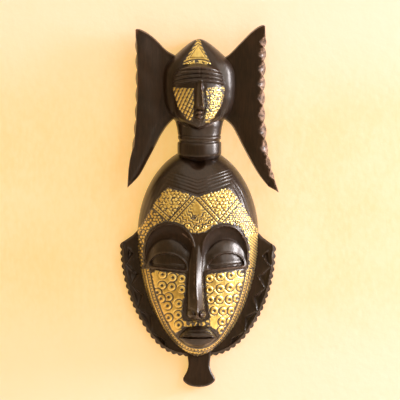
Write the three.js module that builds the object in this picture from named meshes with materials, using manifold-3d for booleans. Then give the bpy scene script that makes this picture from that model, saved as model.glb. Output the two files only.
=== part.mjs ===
// Carved wall mask with embossed brass sheets.
// Millimetres, +Z up. The mask hangs on a wall at y = 0 and its face looks along -Y.
// The origin is the mouth of the nail hole, on the flat back of the neck.
// Depth means the distance that a point stands out from the wall.

import * as THREE from 'three';
import Module from 'manifold-3d';
import { mergeVertices } from 'three/addons/utils/BufferGeometryUtils.js';

const wasm = await Module();
wasm.setup();

const point = (x, y) => new THREE.Vector2(x, y);

// Driving sizes of the large face

const face = {
  halfWidth: 83.5,
  depth: 68,
  browLevel: -117.4,
  chinLevel: -284.5,
  crownLevel: 4,
  sectionPower: 2.2,
  jawPower: 0.615,
  crownPower: 0.54,
  chinProfilePower: 3.2,
};

const eye = {
  socketX: 38.7,
  socketZ: -138.1,
  socketHalfWidth: 33.8,
  socketHalfHeight: 36.4,
  socketDepth: 13,
  socketTurn: 0.36,
  socketTilt: -0.2,
  socketPower: 2.3,
  lidX: 36.5,
  lidZ: -154,
  lidHalfWidth: 29.5,
  lidHalfHeight: 31,
  lidDepth: 11,
  slitX: 38,
  slitHalfWidth: 23.5,
  slitTop: -142.3,
  slitBase: -161,
  slitCut: 4,
  browRadius: 1.8,
};

const nose = {
  topLevel: -129,
  tipLevel: -226.5,
  baseLevel: -233.4,
  bridgeDepth: 65,
  tipDepth: 89,
  bridgeHalfWidth: 5.5,
  tipHalfWidth: 14.5,
  ridgeHalfWidth: 2,
  rootDepth: 30,
  undersideCut: 12,
  nostrilX: 8,
  nostrilRadius: 5.6,
  nostrilDepth: 73,
};

// Shares of the way down the nose and of the way from its bridge width to its tip width.
const noseRows = [[0, 0], [0.35, 0.24], [0.62, 0.4], [0.85, 0.72], [1, 1]];

const mouth = {
  level: -258.7,
  halfWidth: 27.7,
  halfHeight: 15.2,
  rootDepth: 20,
  edgeDepth: 50,
  lipDepth: 70,
  slitHalfWidth: 21,
  slitHalfHeight: 2,
  slitCut: 5,
};

// Driving sizes of the pieces around the face

const flange = {
  rimDepth: 8.5,
  ridgeDepth: 13,
  ridgeInset: 5,
  shoulderHalfSpan: 108.4,
  shoulderLevel: -130.4,
  rimTop: -138,
  rimBottom: -286,
  rimHalfSpan: 107.6,
  rimLevelPower: 1.8,
  rimPower: 0.45,
  lobes: 22,
  lobeDepth: 2.6,
  pockets: 5,
  pocketStart: 0.05,
  pocketPitch: 0.145,
  pocketLength: 0.115,
  pocketApex: 14,
  pocketCut: 4,
};

const flangeUpperEdge = [point(66, -84), point(83, -111), point(90, -118.5)];

const stem = {
  x: 1.5,
  top: -266,
  bottom: -326.9,
  cornerLevel: -316.2,
  waistLevel: -297,
  waistHalfWidth: 15,
  footHalfWidth: 22.2,
  depth: 14,
  bevel: 1.5,
};

const neck = { x: 2, centreDepth: 22, depthScale: 0.88 };

// Radius and level: the collar is between 9.7 and -8.3, under a groove.
const neckProfile = [
  [0, 40], [24, 40], [29.6, 35], [30.6, 29], [29.7, 20], [29.7, 15], [28.3, 12.5], [28.3, 10.5],
  [30.1, 9.7], [30.1, -8.3], [16, -10.3], [0, -34],
];

// Rows give a level, the half-width and the depth there.

const hood = { x: 1.8, sectionPower: 2.05 };

const hoodRows = [
  [32, 22, 30], [41.4, 35, 34], [52.5, 43, 37], [66, 47.6, 39], [80, 48.6, 41], [97, 47.6, 42],
  [110, 44, 41], [122, 38.5, 39], [135, 29, 35], [146, 16, 29], [153, 3, 24],
];

const smallFace = { sectionPower: 2.4, foot: 10, noseX: 2.5 };

// The brow overhangs from the level 94.5 to 118.
const smallFaceRows = [
  [31.5, 3, 44], [38.7, 11, 51], [44.5, 17, 54], [55, 27.6, 56], [70, 34, 56.5], [83, 38, 55.5],
  [91.5, 38.6, 53], [94.5, 38.6, 61], [101, 36.5, 61], [108, 31, 59], [114, 22, 55.5],
  [118, 10, 51],
];

const smallNoseRows = [[50.5, 6, 60], [54, 7.6, 69], [72, 5, 66], [95.5, 3.6, 61.5]];

const wing = {
  backDepth: 8,
  edgeDepth: 13,
  frontDepth: 22,
  lean: 0.12,
  leanFrom: 40,
  chips: 11,
  chipApex: 6.5,
  chipSwell: 1.3,
  pinchInset: 0.8,
  lowerBevel: 7,
  topBevel: 2,
};

const hollow = {
  wall: 15,
  front: 0.66,
  top: -32,
  bottom: -262,
};

const nailHole = { radius: 2.6, depth: 18 };

const sheet = { gap: 0.3, thickness: 0.6, limbMargin: 0.03, flangeClearance: 1.6 };

const behindWall = 12;
const inFrontOfAll = 130;
const sectionSteps = 16;

// Materials

const wood = new THREE.MeshStandardMaterial({ color: 0x33261d, roughness: 0.45, metalness: 0 });
const brass = new THREE.MeshStandardMaterial({ color: 0xd9a441, roughness: 0.35, metalness: 1 });

// Closed bodies

function windOutwards(positions, triangles) {
  const corner = (index) => new THREE.Vector3().fromArray(positions, index * 3);
  let volume = 0;
  for (let i = 0; i < triangles.length; i += 3) {
    const [a, b, c] = [0, 1, 2].map((k) => corner(triangles[i + k]));
    volume += a.dot(b.cross(c));
  }
  return volume > 0 ? triangles : triangles.slice().reverse();
}

function toSolid(geometry) {
  geometry.deleteAttribute('normal');
  geometry.deleteAttribute('uv');
  const merged = mergeVertices(geometry, 1e-4);
  const positions = merged.attributes.position.array;
  const triangles = windOutwards(positions, Array.from(merged.index.array));
  const mesh = new wasm.Mesh({
    numProp: 3,
    vertProperties: new Float32Array(positions),
    triVerts: new Uint32Array(triangles),
  });
  return new wasm.Manifold(mesh);
}

function toMesh(name, solid, material) {
  const { vertProperties, triVerts } = solid.getMesh();
  const geometry = new THREE.BufferGeometry();
  geometry.setAttribute('position', new THREE.BufferAttribute(vertProperties, 3));
  geometry.setIndex(new THREE.BufferAttribute(triVerts, 1));
  geometry.computeVertexNormals();
  const mesh = new THREE.Mesh(geometry, material);
  mesh.name = name;
  return mesh;
}

const joined = (solids) => solids.reduce((sum, solid) => sum.add(solid));

// Outlines of equal point count, one behind the other, closed by a cap at each end.
// place(level, p) puts an outline point into space.
function stack(layers, place) {
  const count = layers[0].outline.length;
  const positions = [];
  const triangles = [];
  for (const { level, outline } of layers) {
    for (const p of outline) positions.push(...place(level, p).toArray());
  }
  for (let layer = 0; layer + 1 < layers.length; layer += 1) {
    for (let i = 0; i < count; i += 1) {
      const a = layer * count + i;
      const b = layer * count + ((i + 1) % count);
      triangles.push(a, b, b + count, a, b + count, a + count);
    }
  }
  const capFaces = (outline) => THREE.ShapeUtils.triangulateShape(outline, []);
  const last = (layers.length - 1) * count;
  const turned = THREE.ShapeUtils.isClockWise(layers[0].outline);
  for (const [a, b, c] of capFaces(layers[0].outline)) {
    triangles.push(...(turned ? [a, b, c] : [c, b, a]));
  }
  for (const [a, b, c] of capFaces(layers.at(-1).outline)) {
    triangles.push(...(turned ? [last + c, last + b, last + a] : [last + a, last + b, last + c]));
  }
  const geometry = new THREE.BufferGeometry();
  geometry.setAttribute('position', new THREE.Float32BufferAttribute(positions, 3));
  geometry.setIndex(triangles);
  return toSolid(geometry);
}

// A stack seen from the front: each outline is in x and z, each level is a depth.
const frontStack = (layers) => stack(layers, (depth, p) => new THREE.Vector3(p.x, -depth, p.y));

// A stack of level sections: each outline is in x and depth, each level is a height.
const levelStack = (layers) => stack(layers, (z, p) => new THREE.Vector3(p.x, -p.y, z));

// A front outline run straight back between two depths.
function prism(outline, from = -behindWall, to = inFrontOfAll) {
  return frontStack([{ level: from, outline }, { level: to, outline }]);
}

function box(low, high) {
  const size = new THREE.Vector3().subVectors(high, low);
  const geometry = new THREE.BoxGeometry(size.x, size.y, size.z);
  const middle = new THREE.Vector3().addVectors(low, high).multiplyScalar(0.5);
  return toSolid(geometry.translate(middle.x, middle.y, middle.z));
}

// An ellipsoid, given by its middle and half-axes, turned about x and then z.
function ellipsoid(middle, halfAxes, { tilt = 0, turn = 0, around = 20, along = 10 } = {}) {
  const geometry = new THREE.SphereGeometry(1, around, along);
  geometry.rotateX(Math.PI / 2).scale(...halfAxes.toArray());
  geometry.rotateX(tilt).rotateZ(turn);
  return toSolid(geometry.translate(...middle.toArray()));
}

const mirrored = (outline) => outline.map((p) => point(-p.x, p.y)).reverse();

const curveThrough = (points, count) => new THREE.SplineCurve(points).getSpacedPoints(count);

// The smooth form of the large face

function halfWidthAt(z) {
  if (z < face.browLevel) {
    const t = (face.browLevel - z) / (face.browLevel - face.chinLevel);
    return face.halfWidth * Math.max(1 - t * t, 0) ** face.jawPower;
  }
  const t = (z - face.browLevel) / (face.crownLevel - face.browLevel);
  return face.halfWidth * Math.max(1 - t * t, 0) ** face.crownPower;
}

function midDepthAt(z) {
  if (z < face.browLevel) {
    const t = (face.browLevel - z) / (face.browLevel - face.chinLevel);
    const power = face.chinProfilePower;
    return face.depth * Math.max(1 - t ** power, 0) ** (1 / power);
  }
  const t = (z - face.browLevel) / (face.crownLevel - face.browLevel);
  return face.depth * Math.sqrt(Math.max(1 - t * t, 0));
}

function surfaceDepth(x, z) {
  const side = Math.min(Math.abs(x) / halfWidthAt(z), 1);
  return midDepthAt(z) * (1 - side ** face.sectionPower) ** (1 / face.sectionPower);
}

// Half a superellipse standing out from a foot depth, closed by a straight back.
function section(halfWidth, depth, power, steps, x = 0, foot = 0) {
  const outline = [];
  for (let i = 0; i <= steps; i += 1) {
    const angle = (Math.PI * i) / steps;
    const across = Math.abs(Math.cos(angle)) ** (2 / power) * Math.sign(Math.cos(angle));
    const out = Math.sin(angle) ** (2 / power);
    outline.push(point(x + halfWidth * across, foot + (depth - foot) * out));
  }
  const back = foot > 0 ? foot - 1 : -behindWall;
  outline.push(point(x - halfWidth, back), point(x + halfWidth, back));
  return outline;
}

// The face as level sections, grown outwards by an offset.
function faceForm(offset, rows = 24, steps = 22) {
  const lowEnd = 0.999;
  const layers = [];
  for (let i = 0; i <= rows; i += 1) {
    const angle = -Math.PI / 2 + (Math.PI * i) / rows;
    const t = Math.sin(angle) * lowEnd;
    const reach = t < 0 ? face.browLevel - face.chinLevel : face.crownLevel - face.browLevel;
    const z = face.browLevel + t * reach;
    const outline = section(
      halfWidthAt(z) + offset, midDepthAt(z) + offset, face.sectionPower, steps,
    );
    layers.push({ level: z, outline });
  }
  return levelStack(layers);
}

// Eyes, brows, nose and mouth

function socket(side) {
  const depth = surfaceDepth(eye.socketX, eye.socketZ);
  return ellipsoid(
    new THREE.Vector3(side * eye.socketX, -depth, eye.socketZ),
    new THREE.Vector3(eye.socketHalfWidth, eye.socketDepth, eye.socketHalfHeight),
    { turn: side * eye.socketTurn, tilt: eye.socketTilt },
  );
}

function lid(side) {
  const depth = surfaceDepth(eye.lidX, eye.lidZ) - eye.socketDepth;
  const dome = ellipsoid(
    new THREE.Vector3(side * eye.lidX, -depth, eye.lidZ),
    new THREE.Vector3(eye.lidHalfWidth, eye.lidDepth, eye.lidHalfHeight),
    { turn: side * eye.socketTurn },
  );
  const arch = new THREE.Shape();
  arch.absellipse(side * eye.slitX, eye.slitBase, eye.slitHalfWidth, eye.slitTop - eye.slitBase,
    0, Math.PI);
  const crescent = prism(arch.getPoints(14), depth + eye.lidDepth - eye.slitCut);
  return dome.subtract(crescent);
}

function browArch(side) {
  const steps = 14;
  const points = [];
  for (let i = 0; i <= steps; i += 1) {
    const angle = Math.PI * (0.03 + (0.97 * i) / steps);
    const across = Math.abs(Math.cos(angle)) ** (2 / eye.socketPower) * Math.sign(Math.cos(angle));
    const up = Math.sin(angle) ** (2 / eye.socketPower);
    const x = eye.socketX + across * (eye.socketHalfWidth + eye.browRadius / 2);
    const z = eye.socketZ + up * (eye.socketHalfHeight + eye.browRadius / 2);
    points.push(new THREE.Vector3(side * x, -surfaceDepth(x, z), z));
  }
  const bead = new THREE.Shape();
  bead.absarc(0, 0, eye.browRadius, 0, 2 * Math.PI);
  const geometry = new THREE.ExtrudeGeometry(bead, {
    steps: 14,
    curveSegments: 2,
    extrudePath: new THREE.CatmullRomCurve3(points),
  });
  return toSolid(geometry);
}

function noseForm() {
  const { rootDepth } = nose;
  const roof = (halfWidth, ridge, foot) => [
    point(halfWidth, rootDepth),
    point(halfWidth, foot),
    point(nose.ridgeHalfWidth, ridge),
    point(-nose.ridgeHalfWidth, ridge),
    point(-halfWidth, foot),
    point(-halfWidth, rootDepth),
  ];
  const drop = nose.topLevel - nose.tipLevel;
  const layers = [];
  for (const [down, spread] of noseRows) {
    const z = nose.topLevel - down * drop;
    const halfWidth = THREE.MathUtils.lerp(nose.bridgeHalfWidth, nose.tipHalfWidth, spread);
    const ridge = THREE.MathUtils.lerp(nose.bridgeDepth, nose.tipDepth, down);
    layers.push({ level: z, outline: roof(halfWidth, ridge, surfaceDepth(halfWidth, z) - 1) });
  }
  const underside = nose.tipDepth - nose.undersideCut;
  const foot = surfaceDepth(nose.tipHalfWidth, nose.baseLevel) - 2;
  layers.push({ level: nose.baseLevel, outline: roof(nose.tipHalfWidth - 2, underside, foot) });
  const nostril = (side) => ellipsoid(
    new THREE.Vector3(side * nose.nostrilX, -nose.nostrilDepth, nose.tipLevel),
    new THREE.Vector3(nose.nostrilRadius, nose.nostrilRadius * 1.6, nose.nostrilRadius),
    { around: 10, along: 6 },
  );
  return joined([levelStack(layers.reverse()), nostril(-1), nostril(1)]);
}

// A pointed oval between two arcs.
function almond(x, z, halfWidth, halfHeight) {
  const shape = new THREE.Shape();
  shape.moveTo(x + halfWidth, z);
  shape.quadraticCurveTo(x, z + 2 * halfHeight, x - halfWidth, z);
  shape.quadraticCurveTo(x, z - 2 * halfHeight, x + halfWidth, z);
  return shape.getPoints(10).slice(0, -1);
}

function lips() {
  const { level, halfWidth, halfHeight, rootDepth, edgeDepth, lipDepth } = mouth;
  const layers = [
    { level: rootDepth, outline: almond(0, level, halfWidth, halfHeight) },
    { level: edgeDepth, outline: almond(0, level, halfWidth, halfHeight) },
    { level: lipDepth - 6, outline: almond(0, level, halfWidth * 0.88, halfHeight * 0.74) },
    { level: lipDepth, outline: almond(0, level, halfWidth * 0.62, halfHeight * 0.4) },
  ];
  const slit = almond(0, level + 0.6, mouth.slitHalfWidth, mouth.slitHalfHeight);
  return frontStack(layers).subtract(prism(slit, lipDepth - mouth.slitCut));
}

// The flange behind the face and its stem

function flangeEdge() {
  const steps = 40;
  const points = [point(flange.shoulderHalfSpan, flange.shoulderLevel)];
  for (let i = 0; i <= steps; i += 1) {
    const t = Math.sin((Math.PI / 2) * (i / steps)) * 0.993;
    const z = THREE.MathUtils.lerp(flange.rimTop, flange.rimBottom, t);
    points.push(point(flange.rimHalfSpan * (1 - t ** flange.rimLevelPower) ** flange.rimPower, z));
  }
  return new THREE.SplineCurve(points);
}

// Points along one side of the rim, set in from the edge by inset(fraction of a lobe).
function rimPoints(inset) {
  const edge = flangeEdge();
  const perLobe = 3;
  const count = flange.lobes * perLobe;
  return Array.from({ length: count + 1 }, (_, i) => {
    const along = i / count;
    const tangent = edge.getTangentAt(along);
    const inward = point(tangent.y, -tangent.x);
    return edge.getPointAt(along).addScaledVector(inward, inset((i % perLobe) / perLobe));
  });
}

function flangeOutline(inset, shoulderInset) {
  const shoulder = point(102, -125 - shoulderInset);
  const side = [...flangeUpperEdge, shoulder, ...rimPoints(inset)];
  return [...side, ...mirrored(side)];
}

function flangePlate() {
  const scallop = (fraction) => flange.lobeDepth * (1 - Math.sin(Math.PI * fraction));
  return frontStack([
    { level: -behindWall, outline: flangeOutline(scallop, 0) },
    { level: flange.rimDepth, outline: flangeOutline(scallop, 0) },
    { level: flange.ridgeDepth, outline: flangeOutline(() => flange.ridgeInset, 2) },
  ]);
}

// Triangular pockets between the zigzag ridges, from the shoulder down.
function pockets(side) {
  const edge = flangeEdge();
  const ridgeAt = (along, inset) => {
    const tangent = edge.getTangentAt(along);
    const p = edge.getPointAt(along).addScaledVector(point(tangent.y, -tangent.x), inset);
    return point(side * p.x, p.y);
  };
  const solids = [];
  for (let i = 0; i < flange.pockets; i += 1) {
    const start = flange.pocketStart + i * flange.pocketPitch;
    const end = start + flange.pocketLength;
    const apex = i === 0 ? flange.pocketApex * 0.7 : flange.pocketApex;
    const triangle = [
      ridgeAt(start, flange.ridgeInset + 1.5),
      ridgeAt((start + end) / 2, flange.ridgeInset + apex),
      ridgeAt(end, flange.ridgeInset + 1.5),
    ];
    solids.push(prism(triangle, flange.ridgeDepth - flange.pocketCut));
  }
  return joined(solids);
}

function stemForm() {
  const right = [
    point(17, stem.top),
    point(16.6, -280),
    point(stem.waistHalfWidth, stem.waistLevel),
    point(17.5, -306),
    point(stem.footHalfWidth, stem.cornerLevel),
    point(14, -323.5),
    point(6, stem.bottom),
  ];
  const outline = [...right, ...mirrored(right)].map((p) => point(p.x + stem.x, p.y));
  const shape = new THREE.Shape(outline);
  const geometry = new THREE.ExtrudeGeometry(shape, {
    depth: stem.depth - stem.bevel + behindWall,
    bevelSize: stem.bevel,
    bevelOffset: -stem.bevel,
    bevelThickness: stem.bevel,
    bevelSegments: 1,
  });
  return toSolid(geometry.rotateX(Math.PI / 2).translate(0, behindWall, 0));
}

// The neck with its collar

function neckForm() {
  const profile = neckProfile.map(([radius, z]) => point(radius, z));
  const geometry = new THREE.LatheGeometry(profile, 24);
  geometry.rotateX(Math.PI / 2).scale(1, neck.depthScale, 1);
  return toSolid(geometry.translate(neck.x, -neck.centreDepth, 0));
}

// The small head above: its hood and its face

function hoodForm() {
  const layers = hoodRows.map(([z, halfWidth, depth]) => ({
    level: z,
    outline: section(halfWidth, depth, hood.sectionPower, sectionSteps, hood.x),
  }));
  return levelStack(layers);
}

function smallFaceForm() {
  const layers = smallFaceRows.map(([z, halfWidth, depth]) => ({
    level: z,
    outline: section(halfWidth, depth, smallFace.sectionPower, sectionSteps, 0, smallFace.foot),
  }));
  return levelStack(layers);
}

function smallFeatures() {
  const { noseX } = smallFace;
  const root = 30;
  const foot = 54;
  const roof = (halfWidth, ridge) => [
    point(noseX + halfWidth, root), point(noseX + halfWidth, foot), point(noseX + 1, ridge),
    point(noseX - 1, ridge), point(noseX - halfWidth, foot), point(noseX - halfWidth, root),
  ];
  const nosePiece = levelStack(smallNoseRows.map(([z, halfWidth, ridge]) => (
    { level: z, outline: roof(halfWidth, ridge) })));
  const mouthPiece = ellipsoid(
    new THREE.Vector3(noseX, -52, 43.5),
    new THREE.Vector3(9, 9, 5.5),
    { around: 12, along: 6 },
  );
  return joined([nosePiece, mouthPiece]);
}

// The wings at each side of the small head

const wingOutlines = {
  right: {
    rim: [point(91.8, 172.6), point(91.4, 97), point(92, 41), point(94, 3), point(101, -24),
      point(111.9, -58.6)],
    lower: [point(97, -50.4), point(84.2, -34.5), point(71.8, -13.8), point(60.8, 7),
      point(53.9, 20.7), point(45.6, 34.5), point(30, 48)],
    top: [point(24, 124), point(40.5, 131.5), point(59.4, 150.5), point(74.6, 165.7)],
  },
  left: {
    rim: [point(-84.2, 168.5), point(-85.2, 97), point(-86.6, 48), point(-90, 7),
      point(-95.5, -21), point(-97.6, -51.9)],
    lower: [point(-91, -46.5), point(-80.1, -34), point(-69, -13.8), point(-58, 7),
      point(-51, 20.7), point(-41.4, 34.5), point(-28, 48)],
    top: [point(-22, 124), point(-33.1, 132.4), point(-52.5, 149.8), point(-66.3, 160.2)],
  },
};

function wingForm(side) {
  const { rim, lower, top } = wingOutlines[side];
  const sign = side === 'right' ? 1 : -1;
  const edge = new THREE.SplineCurve(rim);
  const count = wing.chips * 2;
  const rimLine = (bulge, pinch) => Array.from({ length: count + 1 }, (_, i) => {
    const taper = Math.min(1, i / 2, (count - i) / 5);
    const p = edge.getPointAt(i / count);
    return point(p.x - sign * taper * (i % 2 ? bulge : pinch), p.y);
  });
  const bevelled = (points, dx, dz) => points.map((p, i) => {
    const taper = Math.min(1, (i + 1) / 3);
    return point(p.x + sign * dx * taper, p.y + dz * taper);
  });
  const silhouette = [...rimLine(-wing.chipSwell, wing.pinchInset), ...lower, ...top];
  const front = [
    ...rimLine(wing.chipApex, wing.pinchInset + 1),
    ...bevelled(lower, wing.lowerBevel * 0.6, wing.lowerBevel * 0.8),
    ...bevelled(top, 0, -wing.topBevel),
  ];
  const layers = [
    { level: wing.backDepth, outline: silhouette },
    { level: wing.edgeDepth, outline: silhouette },
    { level: wing.frontDepth, outline: front },
  ];
  return stack(layers, (depth, p) => {
    const lean = wing.lean * Math.max(Math.abs(p.x) - wing.leanFrom, 0);
    return new THREE.Vector3(p.x, -depth - lean, p.y);
  });
}

// The hollow behind the face and the hole for the nail

function hollowForm() {
  const rows = 10;
  const layers = [];
  for (let i = 0; i <= rows; i += 1) {
    const t = (1 - Math.cos((Math.PI * i) / rows)) / 2;
    const z = THREE.MathUtils.lerp(hollow.bottom, hollow.top, t);
    const ends = Math.sqrt(Math.max(1 - (2 * t - 1) ** 2, 0.0004));
    const halfWidth = Math.min(halfWidthAt(z) - hollow.wall, 70 * ends ** 0.7);
    const depth = Math.max(midDepthAt(z) * hollow.front * ends ** 0.5, 0.5);
    layers.push({ level: z, outline: section(Math.max(halfWidth, 1), depth, 2.4, 12) });
  }
  return levelStack(layers);
}

function nailHoleForm() {
  const geometry = new THREE.CylinderGeometry(nailHole.radius, nailHole.radius,
    nailHole.depth + behindWall, 24);
  return toSolid(geometry.translate(0, (behindWall - nailHole.depth) / 2, 0));
}

function carvedWood() {
  let block = faceForm(0);
  for (const side of [-1, 1]) block = block.subtract(socket(side));
  block = joined([
    block, lid(-1), lid(1), browArch(-1), browArch(1), noseForm(), lips(),
    flangePlate().subtract(pockets(-1)).subtract(pockets(1)), stemForm(), neckForm(), hoodForm(),
    smallFaceForm(), smallFeatures(), wingForm('left'), wingForm('right'),
  ]);
  const wall = box(new THREE.Vector3(-200, 0, -400), new THREE.Vector3(200, 60, 250));
  return block.subtract(wall).subtract(hollowForm()).subtract(nailHoleForm());
}

// Brass sheets over the large face

function faceSheet(outline) {
  const outside = faceForm(sheet.gap + sheet.thickness);
  const footDepth = flange.ridgeDepth + sheet.flangeClearance;
  return outside.subtract(faceForm(sheet.gap)).intersect(prism(outline, footDepth));
}

// A point on the limb of the face, set in by the margin that the sheets keep.
function limb(z, side = 1) {
  return point(side * halfWidthAt(z) * (1 - sheet.limbMargin), z);
}

function levelsBetween(from, to, count) {
  return Array.from({ length: count + 1 }, (_, i) => THREE.MathUtils.lerp(from, to, i / count));
}

// Part of the line around an eye socket, between two angles measured from its outer side.
function socketLine(side, from, to, clearance, steps = 14) {
  return Array.from({ length: steps + 1 }, (_, i) => {
    const angle = THREE.MathUtils.lerp(from, to, i / steps);
    const cos = Math.cos(angle);
    const sin = Math.sin(angle);
    const across = Math.abs(cos) ** (2 / eye.socketPower) * Math.sign(cos);
    const up = Math.abs(sin) ** (2 / eye.socketPower) * Math.sign(sin);
    return point(
      side * (eye.socketX + across * (eye.socketHalfWidth + clearance)),
      eye.socketZ + up * (eye.socketHalfHeight + clearance),
    );
  });
}

const stripTop = -163;
const stripLine = [
  point(70.5, stripTop), point(63, -193), point(51.5, -228), point(36.5, -255.5),
  point(25, -270), point(8, -276.6), point(0.5, -277),
];

function foreheadOutline() {
  const rightSide = [
    point(0, -64), point(41.4, -51.5), point(47, -56), point(56.6, -69), point(66, -84),
    point(74.5, -98), ...levelsBetween(-109, stripTop + 0.6, 5).map((z) => limb(z)),
    ...socketLine(1, -0.35, Math.PI * 0.8, 3.4, 12), point(4, -112.6),
  ];
  return [...rightSide, ...mirrored(rightSide).slice(0, -1)];
}

function borderOutline(side) {
  const inner = curveThrough(stripLine, 12);
  const outer = levelsBetween(-283.6, stripTop - 0.6, 9).map((z) => limb(z));
  const outline = [...inner, point(0.5, -283.9), ...outer];
  return outline.map((p) => point(side * p.x, p.y));
}

function cheekOutline(side) {
  const noseEdge = side > 0 ? 0 : 4.5;
  const strip = curveThrough(stripLine, 12).filter((p) => p.y < -166 && p.y > -258);
  const outline = [
    ...strip.map((p) => point(p.x - 1.2, p.y)),
    point(31.5, -257.2), point(27.5, -251.5), point(17.5, -244.4), point(15.6 + noseEdge / 2, -238),
    point(17 + noseEdge, -230), point(17 + noseEdge, -222), point(13.5 + noseEdge, -200),
    point(12 + noseEdge, -180), ...socketLine(1, -Math.PI * 0.8, -0.42, 2, 8),
  ];
  return outline.map((p) => point(side * p.x, p.y));
}

// Brass sheets over the small head

function offsetStack(rows, power, x, foot) {
  const outline = (halfWidth, depth) => section(halfWidth, depth, power, sectionSteps, x, foot);
  const grown = (offset) => levelStack(rows.map(([z, halfWidth, depth]) => (
    { level: z, outline: outline(halfWidth + offset, depth + offset) })));
  return grown(sheet.gap + sheet.thickness).subtract(grown(sheet.gap));
}

function crestSheet() {
  const triangle = [point(0.6, 150.4), point(-21.5, 119), point(19, 119)];
  return offsetStack(hoodRows, hood.sectionPower, hood.x, 0).intersect(prism(triangle, 6));
}

function smallCheekSheet(side) {
  const rows = smallFaceRows.slice(1, 6);
  const { noseX, foot } = smallFace;
  const outline = [
    point(side * 32.8, 82.5), point(side * 29.2, 69), point(side * 22.2, 54),
    point(side * 13.4, 43.2), point(noseX + side * 10, 43.2), point(noseX + side * 9.6, 54),
    point(noseX + side * 7, 72), point(noseX + side * 6, 82.5),
  ];
  return offsetStack(rows, smallFace.sectionPower, 0, foot).intersect(prism(outline, foot + 2));
}

const mask = new THREE.Group();
mask.add(
  toMesh('carved_wood', carvedWood(), wood),
  toMesh('forehead_plate', faceSheet(foreheadOutline()), brass),
  toMesh('left_cheek_plate', faceSheet(cheekOutline(-1)), brass),
  toMesh('right_cheek_plate', faceSheet(cheekOutline(1)), brass),
  toMesh('left_border_strip', faceSheet(borderOutline(-1)), brass),
  toMesh('right_border_strip', faceSheet(borderOutline(1)), brass),
  toMesh('crest_plate', crestSheet(), brass),
  toMesh('small_left_cheek_plate', smallCheekSheet(-1), brass),
  toMesh('small_right_cheek_plate', smallCheekSheet(1), brass),
);

export default mask;
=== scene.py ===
"""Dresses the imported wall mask: carved, painted wood under embossed brass sheets.

Every size is in millimetres in the frame's axes, x to the right and z up the wall. Depth is the
distance that a point stands out from the wall, which is minus y. Meshes are scaled to metres as
they are made.
"""

import logging
import math
from dataclasses import dataclass
from dataclasses import field
from enum import Enum

import bpy
import numpy as np
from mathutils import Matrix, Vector
from mathutils import geometry


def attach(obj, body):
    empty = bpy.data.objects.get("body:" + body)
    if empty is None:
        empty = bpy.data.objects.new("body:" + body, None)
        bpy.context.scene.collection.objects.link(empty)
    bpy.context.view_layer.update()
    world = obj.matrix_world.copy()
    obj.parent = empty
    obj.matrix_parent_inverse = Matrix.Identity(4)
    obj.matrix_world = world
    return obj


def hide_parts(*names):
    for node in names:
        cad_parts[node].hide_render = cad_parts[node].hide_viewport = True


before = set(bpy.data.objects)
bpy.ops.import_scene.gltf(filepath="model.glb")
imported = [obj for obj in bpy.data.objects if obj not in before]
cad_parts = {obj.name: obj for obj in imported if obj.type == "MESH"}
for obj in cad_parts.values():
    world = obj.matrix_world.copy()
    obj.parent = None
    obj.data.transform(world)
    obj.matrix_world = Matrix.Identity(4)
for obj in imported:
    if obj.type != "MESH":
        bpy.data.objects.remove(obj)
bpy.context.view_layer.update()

log = logging.getLogger("mask")

MM = 0.001
BEHIND_WALL = -4.0
LATTICE_SIZE = 64
LEAST_CUT = 0.02

Array = np.ndarray
Pair = tuple[float, float]
Triple = tuple[float, float, float]
Colour = tuple[float, float, float, float]
Outline = tuple[Pair, ...]
Rows = tuple[Triple, ...]
Piece = bpy.types.Object
Socket = bpy.types.NodeSocket
NodeTree = bpy.types.NodeTree
Material = bpy.types.Material


# Fields over the surface


def ramp(low: float, high: float, value: Array) -> Array:
    """Rise smoothly from 0 at low to 1 at high."""
    t = np.clip((value - low) / (high - low), 0.0, 1.0)
    return t * t * (3.0 - 2.0 * t)


def smooth_max(a: Array, b: Array, blend: float) -> Array:
    """Take the larger of two fields, with a fillet where they cross.

    Args:
        a, b: The fields.
        blend: Reach of the fillet.

    Returns:
        The joined field.
    """
    share = np.clip(0.5 + 0.5 * (a - b) / blend, 0.0, 1.0)
    return b + (a - b) * share + blend * share * (1.0 - share)


def bump(distance: Array, reach: float) -> Array:
    """A round swelling of height 1 that ends at the given reach."""
    return 0.5 + 0.5 * np.cos(np.pi * np.clip(np.abs(distance) / reach, 0.0, 1.0))


def ridge_at(distance: Array, size: Triple) -> Array:
    """A round swelling of the given height, at a distance and over a reach around it."""
    height, middle, reach = size
    return height * bump(distance - middle, reach)


def lerp(low: Array | float, high: Array | float, share: Array | float) -> Array:
    """Blend between two values."""
    return low + (high - low) * share


def rounded(t: Array, power: Array | float) -> Array:
    """Height of a quarter of a superellipse, from 1 where t is 0 to 0 where t is 1."""
    return np.maximum(1.0 - t**power, 0.0) ** (1.0 / power)


def around(angle: Array, power: float) -> tuple[Array, Array]:
    """Places across and outwards on a superellipse, by angle."""
    cos, sin = np.cos(angle), np.sin(angle)
    return tuple(np.sign(way) * np.abs(way) ** (2.0 / power) for way in (cos, sin))


def noise(x: Array, z: Array, pitch: float, seed: int) -> Array:
    """Smooth random field between -1 and 1.

    Args:
        x, z: Positions across and up.
        pitch: Distance between the random values.
        seed: Number that fixes the values.

    Returns:
        The field at each position.
    """
    size = LATTICE_SIZE
    lattice = np.random.default_rng(seed).uniform(-1.0, 1.0, (size, size))
    column, row = np.floor(x / pitch).astype(int), np.floor(z / pitch).astype(int)
    share = ramp(0.0, 1.0, x / pitch - column)
    low, high = (
        lerp(lattice[level % size, column % size], lattice[level % size, (column + 1) % size], share)
        for level in (row, row + 1)
    )
    return lerp(low, high, ramp(0.0, 1.0, z / pitch - row))


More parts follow.
